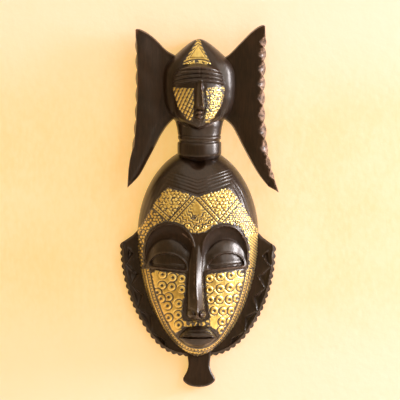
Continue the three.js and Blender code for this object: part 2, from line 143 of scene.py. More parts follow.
@dataclass(frozen=True)
class Scatter:
    """Marks spread over a surface by hand: a staggered lattice with each mark pushed aside.

    Attributes:
        pitch: Distance between marks.
        jitter: Push as a share of the pitch.
        seed: Number that fixes the pushes.
        row_share: Distance between rows as a share of the pitch.
    """

    pitch: float
    jitter: float
    seed: int
    row_share: float = 0.87

    def nearest(self, x: Array, z: Array) -> tuple[Array, Array, Array]:
        """Find the nearest mark.

        Args:
            x, z: Positions across and up.

        Returns:
            Distance to the nearest mark, the direction from it, and a random share of its own.
        """
        size = LATTICE_SIZE
        table = np.random.default_rng(self.seed).uniform(-1.0, 1.0, (3, size, size))
        row_height = self.pitch * self.row_share
        best = np.full(x.shape, np.inf)
        angle = np.zeros(x.shape)
        share = np.zeros(x.shape)
        base_row = np.floor(z / row_height).astype(int)
        for row_step in (-1, 0, 1, 2):
            row = base_row + row_step
            offset = 0.5 * (row % 2)
            base_column = np.floor(x / self.pitch - offset).astype(int)
            for column_step in (-1, 0, 1, 2):
                column = base_column + column_step
                push = table[:, row % size, column % size] * self.jitter * self.pitch
                dx = x - ((column + offset) * self.pitch + push[0])
                dz = z - (row * row_height + push[1])
                distance = np.hypot(dx, dz)
                nearer = distance < best
                best = np.where(nearer, distance, best)
                angle = np.where(nearer, np.arctan2(dz, dx), angle)
                share = np.where(nearer, 0.5 + 0.5 * table[2, row % size, column % size], share)
        return best, angle, share


def spline(points: Outline | Array, count: int) -> Array:
    """Draw a smooth curve through points.

    Args:
        points: The points, in order.
        count: Number of steps between each two points.

    Returns:
        Points along the curve, one to a row.
    """
    p = np.asarray(points, float)
    p = np.vstack([2 * p[0] - p[1], p, 2 * p[-1] - p[-2]])
    t = np.linspace(0.0, 1.0, count, endpoint=False)[:, None]
    parts = []
    for a, b, c, d in zip(p[:-3], p[1:-2], p[2:-1], p[3:]):
        parts.append(
            b + 0.5 * t * (c - a + t * (2 * a - 5 * b + 4 * c - d + t * (3 * (b - c) + d - a)))
        )
    parts.append(p[-2][None, :])
    return np.vstack(parts)


def run_along(points: Array) -> Array:
    """Way along a line of points, at each of them."""
    return np.concatenate([[0.0], np.cumsum(np.hypot(*np.diff(points, axis=0).T))])


@dataclass(frozen=True)
class Line:
    """A line of straight steps in the front view."""

    points: Array

    @classmethod
    def through(cls, *points: Pair, steps: int = 8) -> "Line":
        """Draw a smooth line through points."""
        return cls(spline(points, steps) if len(points) > 2 else np.asarray(points, float))

    def moved(self, aside: float) -> "Line":
        """The same line, moved to its left by the given distance.

        Args:
            aside: The distance.

        Returns:
            The moved line.
        """
        tangent = np.gradient(self.points, axis=0)
        tangent /= np.linalg.norm(tangent, axis=1, keepdims=True)
        return Line(self.points + aside * np.stack([-tangent[:, 1], tangent[:, 0]], axis=1))

    def near(self, x: Array, z: Array) -> tuple[Array, Array]:
        """Measure from the line.

        Args:
            x, z: Positions across and up.

        Returns:
            Distance, positive to the line's left, and the way along the line.
        """
        best = np.full(x.shape, np.inf)
        side = np.ones(x.shape)
        along = np.zeros(x.shape)
        start = 0.0
        for (ax, az), (bx, bz) in zip(self.points[:-1], self.points[1:]):
            ex, ez = bx - ax, bz - az
            length = math.hypot(ex, ez)
            t = np.clip(((x - ax) * ex + (z - az) * ez) / length**2, 0.0, 1.0)
            dx = x - ax - t * ex
            dz = z - az - t * ez
            distance = dx * dx + dz * dz
            nearer = distance < best
            best = np.where(nearer, distance, best)
            side = np.where(nearer, np.sign(ex * (z - az) - ez * (x - ax)), side)
            along = np.where(nearer, start + t * length, along)
            start += length
        return np.sqrt(best) * side, along


def depth_inside(x: Array, z: Array, outline: Array) -> Array:
    """Distance from a closed outline, positive inside it.

    Args:
        x, z: Positions across and up.
        outline: Points of the outline, in order.

    Returns:
        The distance at each place.
    """
    closed = np.vstack([outline, outline[:1]])
    inside = np.zeros(x.shape, bool)
    for (ax, az), (bx, bz) in zip(closed[:-1], closed[1:]):
        if az != bz:
            inside ^= ((az > z) != (bz > z)) & (x < (bx - ax) * (z - az) / (bz - az) + ax)
    distance = np.abs(Line(closed).near(x, z)[0])
    return np.where(inside, distance, -distance)


def mirrored(points: Array) -> Array:
    """The points on the other side of the middle, in turned order."""
    return (np.asarray(points, float) * (-1.0, 1.0))[::-1]


# Meshes


def added(name: str, data: bpy.types.ID) -> Piece:
    """Put an object with the given data into the scene.

    Args:
        name: Its name.
        data: Its mesh, light or camera.

    Returns:
        The object.
    """
    piece = bpy.data.objects.new(name, data)
    bpy.context.scene.collection.objects.link(piece)
    return piece


def read(items: bpy.types.bpy_prop_collection, key: str, width: int, kind: type = float) -> Array:
    """Read a property of every vertex, edge or triangle of a mesh.

    Args:
        items: Vertices, edges or triangles.
        key: Name of the property.
        width: Numbers to an item.
        kind: Kind of number.

    Returns:
        The values, one item to a row.
    """
    values = np.zeros(len(items) * width, kind)
    items.foreach_get(key, values)
    return values.reshape(-1, width)


def store(mesh: bpy.types.Mesh, key: str, values: Array) -> None:
    """Keep a value for each vertex of a mesh."""
    mesh.attributes.new(key, "FLOAT", "POINT").data.foreach_set("value", values.ravel())


def new_object(name: str, vertices: Array, faces: list, values: dict | None = None) -> Piece:
    """Make a mesh object from points in millimetres.

    Args:
        name: Name of the object.
        vertices: One point to a row.
        faces: Vertex numbers of each face, counted from outside.
        values: Values for each vertex, by name.

    Returns:
        The object, linked to the scene.
    """
    mesh = bpy.data.meshes.new(name)
    mesh.from_pydata((np.asarray(vertices, float) * MM).tolist(), [], faces)
    for key, value in (values or {}).items():
        store(mesh, key, value)
    if volume_of(mesh) < 0.0:
        mesh.flip_normals()
    return added(name, mesh)


def volume_of(mesh: bpy.types.Mesh) -> float:
    """Signed volume inside a mesh.

    Args:
        mesh: The mesh.

    Returns:
        The volume.
    """
    mesh.calc_loop_triangles()
    corners = read(mesh.loop_triangles, "vertices", 3, np.int32)
    a, b, c = read(mesh.vertices, "co", 3)[corners].transpose(1, 0, 2)
    return float(np.einsum("ij,ij->i", a, np.cross(b, c)).sum() / 6.0)


def in_space(x: Array, depth: Array, z: Array) -> Array:
    """Put x, depth and z into points."""
    x, depth, z = np.broadcast_arrays(x, depth, z)
    return np.stack([x, -depth, z], axis=-1)


def loft(name: str, rings: Array) -> Piece:
    """Skin closed rings of points, with a fan over each end.

    Args:
        name: Name of the object.
        rings: Points by ring and by place in the ring.

    Returns:
        The closed object.
    """
    count, size, _ = rings.shape
    here = np.arange(size)
    there = np.roll(here, -1)
    ring = np.stack([here, there, size + there, size + here], axis=1)
    faces = [quad for low in range(count - 1) for quad in (low * size + ring).tolist()]
    first, top = count * size, (count - 1) * size
    faces += [[first, b, a] for a, b in zip(here.tolist(), there.tolist())]
    faces += [[first + 1, top + a, top + b] for a, b in zip(here.tolist(), there.tolist())]
    ends = [rings[0].mean(axis=0), rings[-1].mean(axis=0)]
    return new_object(name, np.vstack([rings.reshape(-1, 3), *ends]), faces)


def half_round(name: str, x: Array, depth: Array, z: Array, foot: float) -> Piece:
    """Skin level half-sections that stand on a flat back.

    Args:
        name: Name of the object.
        x, depth, z: The points, by section and by place in it from the right.
        foot: Depth of the back.

    Returns:
        The closed object.
    """
    back = in_space(x[:, [-1, 0]], foot, z[:, [-1, 0]])
    return loft(name, np.concatenate([in_space(x, depth, z), back], axis=1))


def block_between(name: str, outline: Array, back: float, front: float) -> Piece:
    """Make a straight block from one outline, between two depths."""
    return loft(name, np.stack([in_space(outline[:, 0], d, outline[:, 1]) for d in (back, front)]))


def grid_over(outline: Array, spacing: float) -> tuple[Array, Array]:
    """Places across and up, spread evenly over an outline and a little past it."""
    low, high = outline.min(axis=0) - spacing, outline.max(axis=0) + spacing
    return np.meshgrid(np.arange(low[0], high[0], spacing), np.arange(high[1], low[1], -spacing))


def clipped_sheet(
    name: str, inside: Array, front: Array, back: Array, values: dict[str, Array] | None = None
) -> Piece:
    """Make a closed sheet from a grid, kept where a field is positive.

    Args:
        name: Name of the object.
        inside: The field, by row and column.
        front, back: Points of each side, by row and column.
        values: Vertex values by name, by row and column.

    Returns:
        The closed object, with the values as attributes.
    """
    values = values or {}
    extra = [value[..., None] for value in values.values()]
    data = np.concatenate([front, back, *extra], axis=-1)
    keep = inside > 0.0
    number = np.full(inside.shape, -1)
    number[keep] = np.arange(keep.sum())
    chunks = [data[keep]]
    total = int(keep.sum())
    edge_numbers = []
    for axis in (1, 0):
        a = [slice(None), slice(None)]
        b = [slice(None), slice(None)]
        a[axis] = slice(None, -1)
        b[axis] = slice(1, None)
        a, b = tuple(a), tuple(b)
        crossed = keep[a] != keep[b]
        gap = np.where(crossed, inside[a] - inside[b], 1.0)
        share = np.clip(inside[a] / gap, LEAST_CUT, 1.0 - LEAST_CUT)[..., None]
        ids = np.full(crossed.shape, -1)
        ids[crossed] = total + np.arange(crossed.sum())
        chunks.append((data[a] + share * (data[b] - data[a]))[crossed])
        total += int(crossed.sum())
        edge_numbers.append(ids)
    across, along = edge_numbers
    corners = [number[:-1, :-1], number[:-1, 1:], number[1:, 1:], number[1:, :-1]]
    edges = [across[:-1, :], along[:, 1:], across[1:, :], along[:, :-1]]
    whole = np.all([c >= 0 for c in corners], axis=0)
    faces = np.stack([c[whole] for c in corners], axis=1).tolist()
    partial = np.any([c >= 0 for c in corners], axis=0) & ~whole
    cells = np.stack([v[partial] for pair in zip(corners, edges) for v in pair], axis=1)
    faces.extend([[v for v in cell if v >= 0] for cell in cells.tolist()])
    points = np.vstack(chunks)
    rim = boundary_edges(faces)
    shell = faces + [[v + total for v in reversed(f)] for f in faces]
    shell += [[b, a, a + total, b + total] for a, b in rim]
    vertices = np.vstack([points[:, :3], points[:, 3:6]])
    stored = {key: np.tile(points[:, 6 + i], 2) for i, key in enumerate(values)}
    return new_object(name, vertices, shell, stored)


def boundary_edges(faces: list) -> list[tuple[int, int]]:
    """The directed edges that only one face has.

    Args:
        faces: Vertex numbers of each face.

    Returns:
        Start and end of each edge.
    """
    edges = {}
    for f in faces:
        for a, b in zip(f, f[1:] + f[:1]):
            if (b, a) in edges:
                del edges[(b, a)]
            else:
                edges[(a, b)] = True
    return list(edges)


def filled(outline: Array, spacing: float) -> tuple[Array, list]:
    """Fill an outline with triangles over a loose grid of inner points.

    Args:
        outline: Points of the outline, in order.
        spacing: Distance between the inner points.

    Returns:
        The inner points, and the triangles over outline and inner points.
    """
    low, high = outline.min(axis=0), outline.max(axis=0)
    gx, gz = np.meshgrid(np.arange(low[0], high[0], spacing), np.arange(low[1], high[1], spacing))
    keep = depth_inside(gx, gz, outline) > 0.6 * spacing
    inner = np.stack([gx[keep], gz[keep]], axis=1)
    count = len(outline)
    edges = [(i, (i + 1) % count) for i in range(count)]
    points = [Vector(p) for p in np.vstack([outline, inner])]
    result = geometry.delaunay_2d_cdt(points, edges, [], 1, 1e-6)
    order = {i: origins[0] for i, origins in enumerate(result[3]) if origins}
    return inner, [[order[i] for i in f] for f in result[2]]


class Join(Enum):
    """How one solid meets another."""

    ADD = "UNION"
    CUT = "DIFFERENCE"


def combined(base: Piece, others: list[tuple[Join, Piece]]) -> Piece:
    """Add solids to a base or cut them from it, in order, and remove them.

    Args:
        base: The solid that the others meet.
        others: The other solids, each with the way it meets the base.

    Returns:
        The base, with its new mesh.
    """
    for way, other in others:
        modifier = base.modifiers.new(other.name, "BOOLEAN")
        modifier.solver = "MANIFOLD"
        modifier.operation = way.value
        modifier.object = other
    applied(base)
    for _, other in others:
        bpy.data.objects.remove(other, do_unlink=True)
    return base


def applied(piece: Piece) -> None:
    """Turn a piece's modifiers into its mesh.

    Args:
        piece: The piece.
    """
    graph = bpy.context.evaluated_depsgraph_get()
    mesh = bpy.data.meshes.new_from_object(piece.evaluated_get(graph))
    piece.modifiers.clear()
    old, piece.data = piece.data, mesh
    mesh.name = piece.name
    bpy.data.meshes.remove(old)


def thinned(piece: Piece, triangles: int) -> None:
    """Lower a piece's number of triangles where its surface is plain.

    Args:
        piece: The piece.
        triangles: Most triangles that it may have.
    """
    piece.data.calc_loop_triangles()
    ratio = triangles / len(piece.data.loop_triangles)
    if ratio < 1.0:
        modifier = piece.modifiers.new("thin", "DECIMATE")
        modifier.ratio = ratio
        modifier.use_collapse_triangulate = True
        applied(piece)


def shade(piece: Piece, angle: float) -> None:
    """Shade a piece smooth, with sharp edges from the given angle in degrees."""
    piece.data.polygons.foreach_set("use_smooth", np.ones(len(piece.data.polygons), bool))
    piece.data.set_sharp_from_angle(angle=math.radians(angle))


def add_edge_values(piece: Piece, rounds: int, back_share: float = 0.25) -> None:
    """Store how far each vertex stands proud of its neighbours and how far it lies below them.

    Args:
        piece: The piece to measure.
        rounds: Number of times that the measure is spread to the neighbours.
        back_share: Share of the edge value that is kept where the surface faces the wall.
    """
    mesh = piece.data
    count = len(mesh.vertices)
    points, normals = read(mesh.vertices, "co", 3), read(mesh.vertices, "normal", 3)
    a, b = read(mesh.edges, "vertices", 2, np.int32).T
    step = points[b] - points[a]
    length = np.linalg.norm(step, axis=1) + 1e-9
    degree = np.bincount(np.concatenate([a, b]), minlength=count) + 1e-9
    rise_a = np.einsum("ij,ij->i", step, normals[a]) / length
    rise_b = -np.einsum("ij,ij->i", step, normals[b]) / length
    rise = (np.bincount(a, rise_a, count) + np.bincount(b, rise_b, count)) / degree
    for _ in range(rounds):
        spread = np.bincount(a, rise[b], count) + np.bincount(b, rise[a], count)
        rise = 0.5 * rise + 0.5 * spread / degree
    faces_wall = normals[:, 1] > 0.35
    store(mesh, "edge", np.clip(-rise, 0, 1) * np.where(faces_wall, back_share, 1.0))
    store(mesh, "hollow", np.clip(rise, 0, 1))


# Forms that the solids and the sheets share


@dataclass(frozen=True)
class Form:
    """A form by level sections, each half a superellipse that stands on a foot."""

    section_power: float = 2.2
    x: float = 0.0
    foot: float = 0.0

    def sizes(self, z: Array) -> tuple[Array, Array]:
        """Half-width and depth at a level."""
        raise NotImplementedError

    def levels(self, low: float, high: float, spacing: float) -> Array:
        """Levels from high down to low."""
        return np.arange(high, low, -spacing)

    def grid(self, z: Array, angle: Array) -> tuple[Array, Array, Array]:
        """Place points on the sections.

        Args:
            z: Levels.
            angle: Angles around the sections, from the right side at 0.

        Returns:
            Place across, depth and level, each by level and angle.
        """
        half_width, depth = self.sizes(z[:, None])
        across, out = around(angle, self.section_power)
        x = self.x + half_width * across
        return x, self.foot + (depth - self.foot) * out, np.broadcast_to(z[:, None], x.shape)


@dataclass(frozen=True)
class FaceForm(Form):
    """The smooth form of the large face."""

    half_width: float = 83.5
    depth: float = 68.0
    brow_level: float = -117.4
    chin_level: float = -284.5
    crown_level: float = 4.0
    jaw_power: float = 0.615
    crown_power: float = 0.54
    chin_profile_power: float = 3.2

    def way(self, z: Array) -> Array:
        """Way from the brow to the end of the face above or below, from 0 to 1."""
        end = np.where(z < self.brow_level, self.chin_level, self.crown_level)
        return np.clip((z - self.brow_level) / (end - self.brow_level), 0.0, 1.0)

    def sizes(self, z: Array) -> tuple[Array, Array]:
        """Half-width and depth at a level.

        Args:
            z: Levels.

        Returns:
            Half-widths and depths.
        """
        way, below = self.way(z), z < self.brow_level
        half_width = self.half_width * (1.0 - way**2) ** np.where(below, self.jaw_power, self.crown_power)
        return half_width, self.depth * rounded(way, np.where(below, self.chin_profile_power, 2.0))

    def depth_at(self, x: Array, z: Array) -> Array:
        """Depth at a place in the front view."""
        half_width, middle = self.sizes(z)
        return middle * rounded(np.abs(x) / np.maximum(half_width, 1e-6), self.section_power)

    def levels(self, low: float, high: float, spacing: float) -> Array:
        """Levels from high down to low, evenly spaced along the middle profile.

        Args:
            low, high: Lowest and highest level.
            spacing: Distance between levels.

        Returns:
            The levels.
        """
        z = np.linspace(high, low, 4000)
        run = run_along(np.stack([z, self.sizes(z)[1]], axis=1))
        return np.interp(np.arange(0.0, run[-1], spacing), run, z)


@dataclass(frozen=True)
class RowForm(Form):
    """A form given by rows of level, half-width and depth, with smooth lines between them."""

    rows: Rows = ()

    def sizes(self, z: Array) -> tuple[Array, Array]:
        """Half-width and depth at a level.

        Args:
            z: Levels.

        Returns:
            Half-widths and depths.
        """
        table = np.asarray(self.rows)
        slopes = np.gradient(table[:, 1:], table[:, 0], axis=0)
        z = np.clip(z, table[0, 0], table[-1, 0])
        i = np.clip(np.searchsorted(table[:, 0], z) - 1, 0, len(table) - 2)
        gap = (table[i + 1, 0] - table[i, 0])[..., None]
        t = (z - table[i, 0])[..., None] / gap
        value = (
            (1 + 2 * t) * (1 - t) ** 2 * table[i, 1:]
            + t * (1 - t) ** 2 * gap * slopes[i]
            + t * t * (3 - 2 * t) * table[i + 1, 1:]
            + t * t * (t - 1) * gap * slopes[i + 1]
        )
        return value[..., 0], value[..., 1]

    def all_levels(self, spacing: float) -> Array:
        """Levels from the highest row down to the lowest."""
        low, high = self.rows[0][0], self.rows[-1][0]
        return np.append(self.levels(low, high, spacing), low)


# The large face


@dataclass(frozen=True)
class Eye:
    """The deep arched socket under the brow, with a closed lid over a long slit."""

    x: float = 36.8
    z: float = -144.0
    half_width: float = 31.2
    half_height: float = 39.0
    foot_half_height: float = 62.0
    power: float = 2.15
    basin: float = 12.5
    wall: float = 13.0
    lid_half_width: float = 31.0
    lid_height: float = 38.5
    lid_swell: float = 12.0
    lid_blend: float = 11.0
    slit_x: float = 38.6
    slit_half_width: float = 25.0
    slit_height: float = 19.0
    slit_cut: float = 3.4
    most_rise: float = 0.6
    lower_fold: Triple = (1.1, 1.9, 2.0)
    lower_crease: Triple = (0.9, 5.2, 1.8)
    upper_fold: Triple = (0.8, 4.6, 1.6)
    slit_rim: Triple = (0.9, 0.9, 1.5)
    lower_line: float = -161.3
    droop: float = 0.105
    brow_radius: float = 1.3

    def radius(self, x: Array, z: Array) -> Array:
        """Place in the socket, from 0 in its middle to 1 on its rim.

        Args:
            x, z: Positions across and up.

        Returns:
            The place, as a share.
        """
        half_height = np.where(z > self.z, self.half_height, self.foot_half_height)
        u, v = np.abs(x - self.x) / self.half_width, np.abs(z - self.z) / half_height
        return (u**self.power + v**self.power) ** (1.0 / self.power)

    def lower(self, x: Array) -> Array:
        """Level of the lower lid's upper edge."""
        return self.lower_line + self.droop * (x - self.x)

    def recess(self, x: Array, z: Array) -> Array:
        """Share of the deep band between the brow and the lid, by place.

        Args:
            x, z: Positions across and up.

        Returns:
            The share.
        """
        u = (x - self.x) / self.lid_half_width
        v = (z - self.lower(x)) / self.lid_height
        off_lid = ramp(0.9, 1.06, np.hypot(u, v)) * ramp(0.0, 0.2, v)
        return off_lid * ramp(1.0, 0.95, self.radius(x, z))

    def carve(self, x: Array, z: Array, depth: Array) -> Array:
        """Cut the socket and raise the lid and the brow.

        Args:
            x: Positions across, from the middle outwards.
            z: Positions up.
            depth: Depth before.

        Returns:
            Depth after.
        """
        inwards = (1.0 - self.radius(x, z)) * self.half_width
        above = z - self.lower(x)
        cut = self.basin * np.sin(0.5 * np.pi * np.clip(inwards / self.wall, 0.0, 1.0)) ** 0.85
        u = (x - self.x) / self.lid_half_width
        v = np.maximum(above, 0.0) / self.lid_height
        swell = self.lid_swell * np.sqrt(np.maximum(1.0 - u * u - v * v, 0.0))
        shaped = smooth_max(-cut, swell - self.basin, self.lid_blend)
        shaped = np.minimum(shaped + self.slit(x, above), self.most_rise)
        ends = ramp(0.75, 1.15, np.abs(x - self.slit_x) / self.slit_half_width)
        share = ramp(-1.4 - 4.5 * ends, 0.6 + 9.0 * ends, above)
        carved = depth + np.where(inwards > 0.0, shaped, 0.0) * share
        within = ramp(1.15, 0.85, np.abs(x - self.slit_x) / self.slit_half_width)
        band = ridge_at(-above, self.lower_fold) - ridge_at(-above, self.lower_crease)
        carved = carved + band * within
        return np.maximum(carved, self.brow(x, z, depth, above))

    def slit(self, x: Array, above: Array) -> Array:
        """Rise over the lid: the sunk eyeball under the arched edge of the upper lid.

        Args:
            x: Positions across.
            above: Height above the lower lid.

        Returns:
            The rise.
        """
        u = (x - self.slit_x) / self.slit_half_width
        v = above / self.slit_height
        to_arch = (1.0 - np.sqrt(u * u + v * v)) * self.slit_height
        sunk = ramp(-0.2, 1.0, to_arch) * self.slit_cut
        fold = ridge_at(above, self.upper_fold) * (to_arch > 1.0)
        rim = ridge_at(-to_arch, self.slit_rim)
        return fold + rim - sunk

    def brow(self, x: Array, z: Array, depth: Array, above: Array) -> Array:
        """Depth of the raised line around the socket.

        Args:
            x, z: Positions across and up.
            depth: Depth before.
            above: Height above the lower lid.

        Returns:
            The depth, or minus infinity away from the line.
        """
        distance = (self.radius(x, z) - 1.03) * self.half_width
        height = np.sqrt(np.maximum(self.brow_radius**2 - distance**2, 0.0))
        fade = ramp(2.0, 12.0, above)
        return np.where((height > 0) & (fade > 0), depth - 0.9 + (height + 0.8) * fade, -np.inf)


RIGHT_EYE = Eye()
LEFT_EYE = Eye(
    x=39.0, z=-143.0, half_width=33.6, half_height=40.5, lid_half_width=33.0, lid_height=40.0,
    slit_x=41.2, slit_half_width=25.5, lower_line=-161.8,
)


@dataclass(frozen=True)
class Nose:
    """The long narrow nose with its sharp ridge, wider on the left, and two round nostrils."""

    levels: tuple[float, ...] = (-226.5, -216.0, -188.0, -152.0, -135.0, -121.0)
    ridges: tuple[float, ...] = (89.0, 86.6, 80.2, 73.0, 69.6, 66.0)
    ridge_xs: tuple[float, ...] = (-0.2, -0.6, -2.0, -1.9, -0.6, -0.2)
    left_widths: tuple[float, ...] = (15.5, 14.6, 12.8, 9.6, 6.6, 6.0)
    right_widths: tuple[float, ...] = (12.0, 10.6, 9.8, 7.8, 6.2, 6.0)
    base_level: float = -233.4
    facet: float = 0.6
    facet_power: float = 14.0
    nostrils: tuple[tuple[float, ...], ...] = (
        (7.4, 5.0, 5.5, 1.0), (-11.6, 6.9, 7.0, 0.5),
    )
    nostril_level: float = -226.6
    nostril_swell: float = 4.6
    furrow: float = 3.4
    base_drop: float = 8.0
    base_taper: float = 0.42
    sides_slope: float = 3.0
    base_slope: float = 7.0
    top_slope: float = 0.8
    blend: float = 0.7

    def carve(self, x: Array, z: Array, depth: Array, form: FaceForm) -> Array:
        """Raise the nose.

        Args:
            x, z: Positions across and up.
            depth: Depth before.
            form: The face around the nose.

        Returns:
            Depth after.
        """
        tip = self.levels[0]
        under = np.clip((tip - z) / (tip - self.base_level), 0.0, 1.0)
        ridge = np.interp(z, self.levels, self.ridges) - self.base_drop * under**1.5
        aside = x - np.interp(z, self.levels, self.ridge_xs)
        left = np.interp(z, self.levels, self.left_widths)
        right = np.interp(z, self.levels, self.right_widths)
        half_width = np.where(aside < 0.0, left, right) * (1.0 - self.base_taper * under**2)
        foot = form.depth_at(half_width, z) - 2.0
        aside = np.maximum(np.abs(aside) - 0.3, 0.0)
        side = np.clip(aside / half_width, 0.0, 1.0)
        drop = self.facet * side + (1.0 - self.facet) * side**self.facet_power
        roof = ridge - (ridge - foot) * drop
        roof = roof - self.sides_slope * np.maximum(aside - half_width, 0.0)
        roof = roof - self.base_slope * np.maximum(self.base_level - z, 0.0)
        nose = roof - self.top_slope * np.maximum(z - self.levels[-1], 0.0)
        for middle, half, height, share in self.nostrils:
            away = np.hypot((x - middle) / half, (z - self.nostril_level) / height)
            furrow = bump(away - 1.14, 0.4) * ramp(self.base_level, tip, z)
            lobe = np.sqrt(np.maximum(1.0 - away * away, 0.0))
            nose = nose + share * (self.nostril_swell * lobe - self.furrow * furrow)
        return smooth_max(depth, nose, self.blend)


@dataclass(frozen=True)
class Mouth:
    """The small pursed mouth on its raised muzzle."""

    level: float = -258.6
    half_width: float = 26.4
    upper_height: float = 16.4
    lower_height: float = 13.6
    crest: float = 69.5
    corner_drop: float = 8.0
    places: tuple[float, ...] = (
        -1.0, -0.86, -0.73, -0.6, -0.48, -0.2, -0.1, -0.04, 0.05, 0.13, 0.24, 0.42, 0.51, 0.6,
        0.85, 1.0,
    )
    rises: tuple[float, ...] = (
        0.0, 0.2, 2.4, 0.4, -1.0, -0.8, 0.4, -2.6, -2.6, 1.8, 0.8, 0.8, -0.9, 0.7, 0.3, 0.0,
    )

    def carve(self, x: Array, z: Array, depth: Array, form: FaceForm) -> Array:
        """Raise the muzzle and shape the lips.

        Args:
            x, z: Positions across and up.
            depth: Depth before.
            form: The face around the mouth.

        Returns:
            Depth after.
        """
        across = np.clip(np.abs(x) / self.half_width, 0.0, 1.0)
        reach = np.where(z > self.level, self.upper_height, self.lower_height)
        fullness = np.where(z > self.level, 3.0, 2.4)
        reach = np.maximum(reach * (1.0 - across**fullness), 0.05)
        share = np.clip((z - self.level) / reach, -1.0, 1.0)
        surface = form.depth_at(x, z)
        crest = self.crest - self.corner_drop * across**2
        bulk = (1.0 - np.abs(share) ** 2.5) ** 0.84
        detail = np.interp(share, self.places, self.rises) * (1.0 - across**6)
        lips = surface + bulk * np.maximum(crest - surface, 0.0) + detail
        outside = (np.abs(share) >= 1.0) | (across >= 1.0)
        return np.where(outside, depth, np.maximum(depth, lips))


@dataclass(frozen=True)
class Hair:
    """The lines cut into the dome: chevrons over the brow and long lines down each side."""

    chevrons: Outline = (
        (-42.6, -27.6), (-46.8, -31.6), (-51.8, -36.0), (-56.4, -40.6), (-61.6, -46.2),
    )
    chevron_reach: float = 47.0
    side_line: Outline = (
        (50.5, -38.0), (58.0, -48.0), (66.5, -64.0), (73.5, -84.0), (78.0, -104.0),
    )
    side_lines: int = 3
    side_pitch: float = 4.3
    side_width: float = 2.2
    cut: float = 1.0
    width: float = 1.5
    dent: Outline = ((0.0, 0.0), (-0.5, -17.0))
    dent_reach: float = 12.0
    dent_cut: float = 7.0

    def carve(self, x: Array, z: Array, depth: Array) -> Array:
        """Cut the lines and the dent under the collar.

        Args:
            x, z: Positions across and up.
            depth: Depth before.

        Returns:
            Depth after.
        """
        aside = np.abs(x + 0.3)
        wave = 0.22 * noise(x, z, 14.0, 3)
        cut = np.zeros(x.shape)
        for inner, outer in self.chevrons:
            distance = Line.through((0.0, inner), (self.chevron_reach, outer)).near(aside, z + wave)[0]
            cut = np.maximum(cut, 1.0 - np.abs(distance) / self.width)
        for i in range(self.side_lines):
            distance = Line.through(*self.side_line).moved(-i * self.side_pitch).near(aside, z)[0]
            cut = np.maximum(cut, 1.0 - np.abs(distance) / self.side_width)
        firm = lerp(0.5, 1.0, ramp(-8.0, 8.0, x)) * (0.8 + 0.5 * noise(x, z, 11.0, 4))
        dent = bump(Line.through(*self.dent).near(x, z)[0], self.dent_reach)
        return depth - self.cut * cut * firm - self.dent_cut * dent


@dataclass(frozen=True)
class LargeFace:
    """The large face and its high dome, down to the wall."""

    form: FaceForm = field(default_factory=FaceForm)
    left_eye: Eye = LEFT_EYE
    right_eye: Eye = RIGHT_EYE
    nose: Nose = field(default_factory=Nose)
    mouth: Mouth = field(default_factory=Mouth)
    hair: Hair = field(default_factory=Hair)
    spacing: float = 1.0
    columns: int = 280
    end: float = 0.2

    def build(self) -> Piece:
        """Make the face as one closed solid.

        Returns:
            The closed solid.
        """
        form = self.form
        levels = form.levels(form.chin_level + self.end, form.crown_level - self.end, self.spacing)
        x, depth, z = form.grid(levels, np.linspace(0.0, np.pi, self.columns))
        depth = self.hair.carve(x, z, depth)
        left, right = self.left_eye.carve(-x, z, depth), self.right_eye.carve(x, z, depth)
        depth = np.where(x < 0.0, left, right)
        depth = self.nose.carve(x, z, depth, form)
        depth = self.mouth.carve(x, z, depth, form)
        return half_round("large_face", x, np.maximum(depth, 0.0), z, BEHIND_WALL)


# The pieces around the face


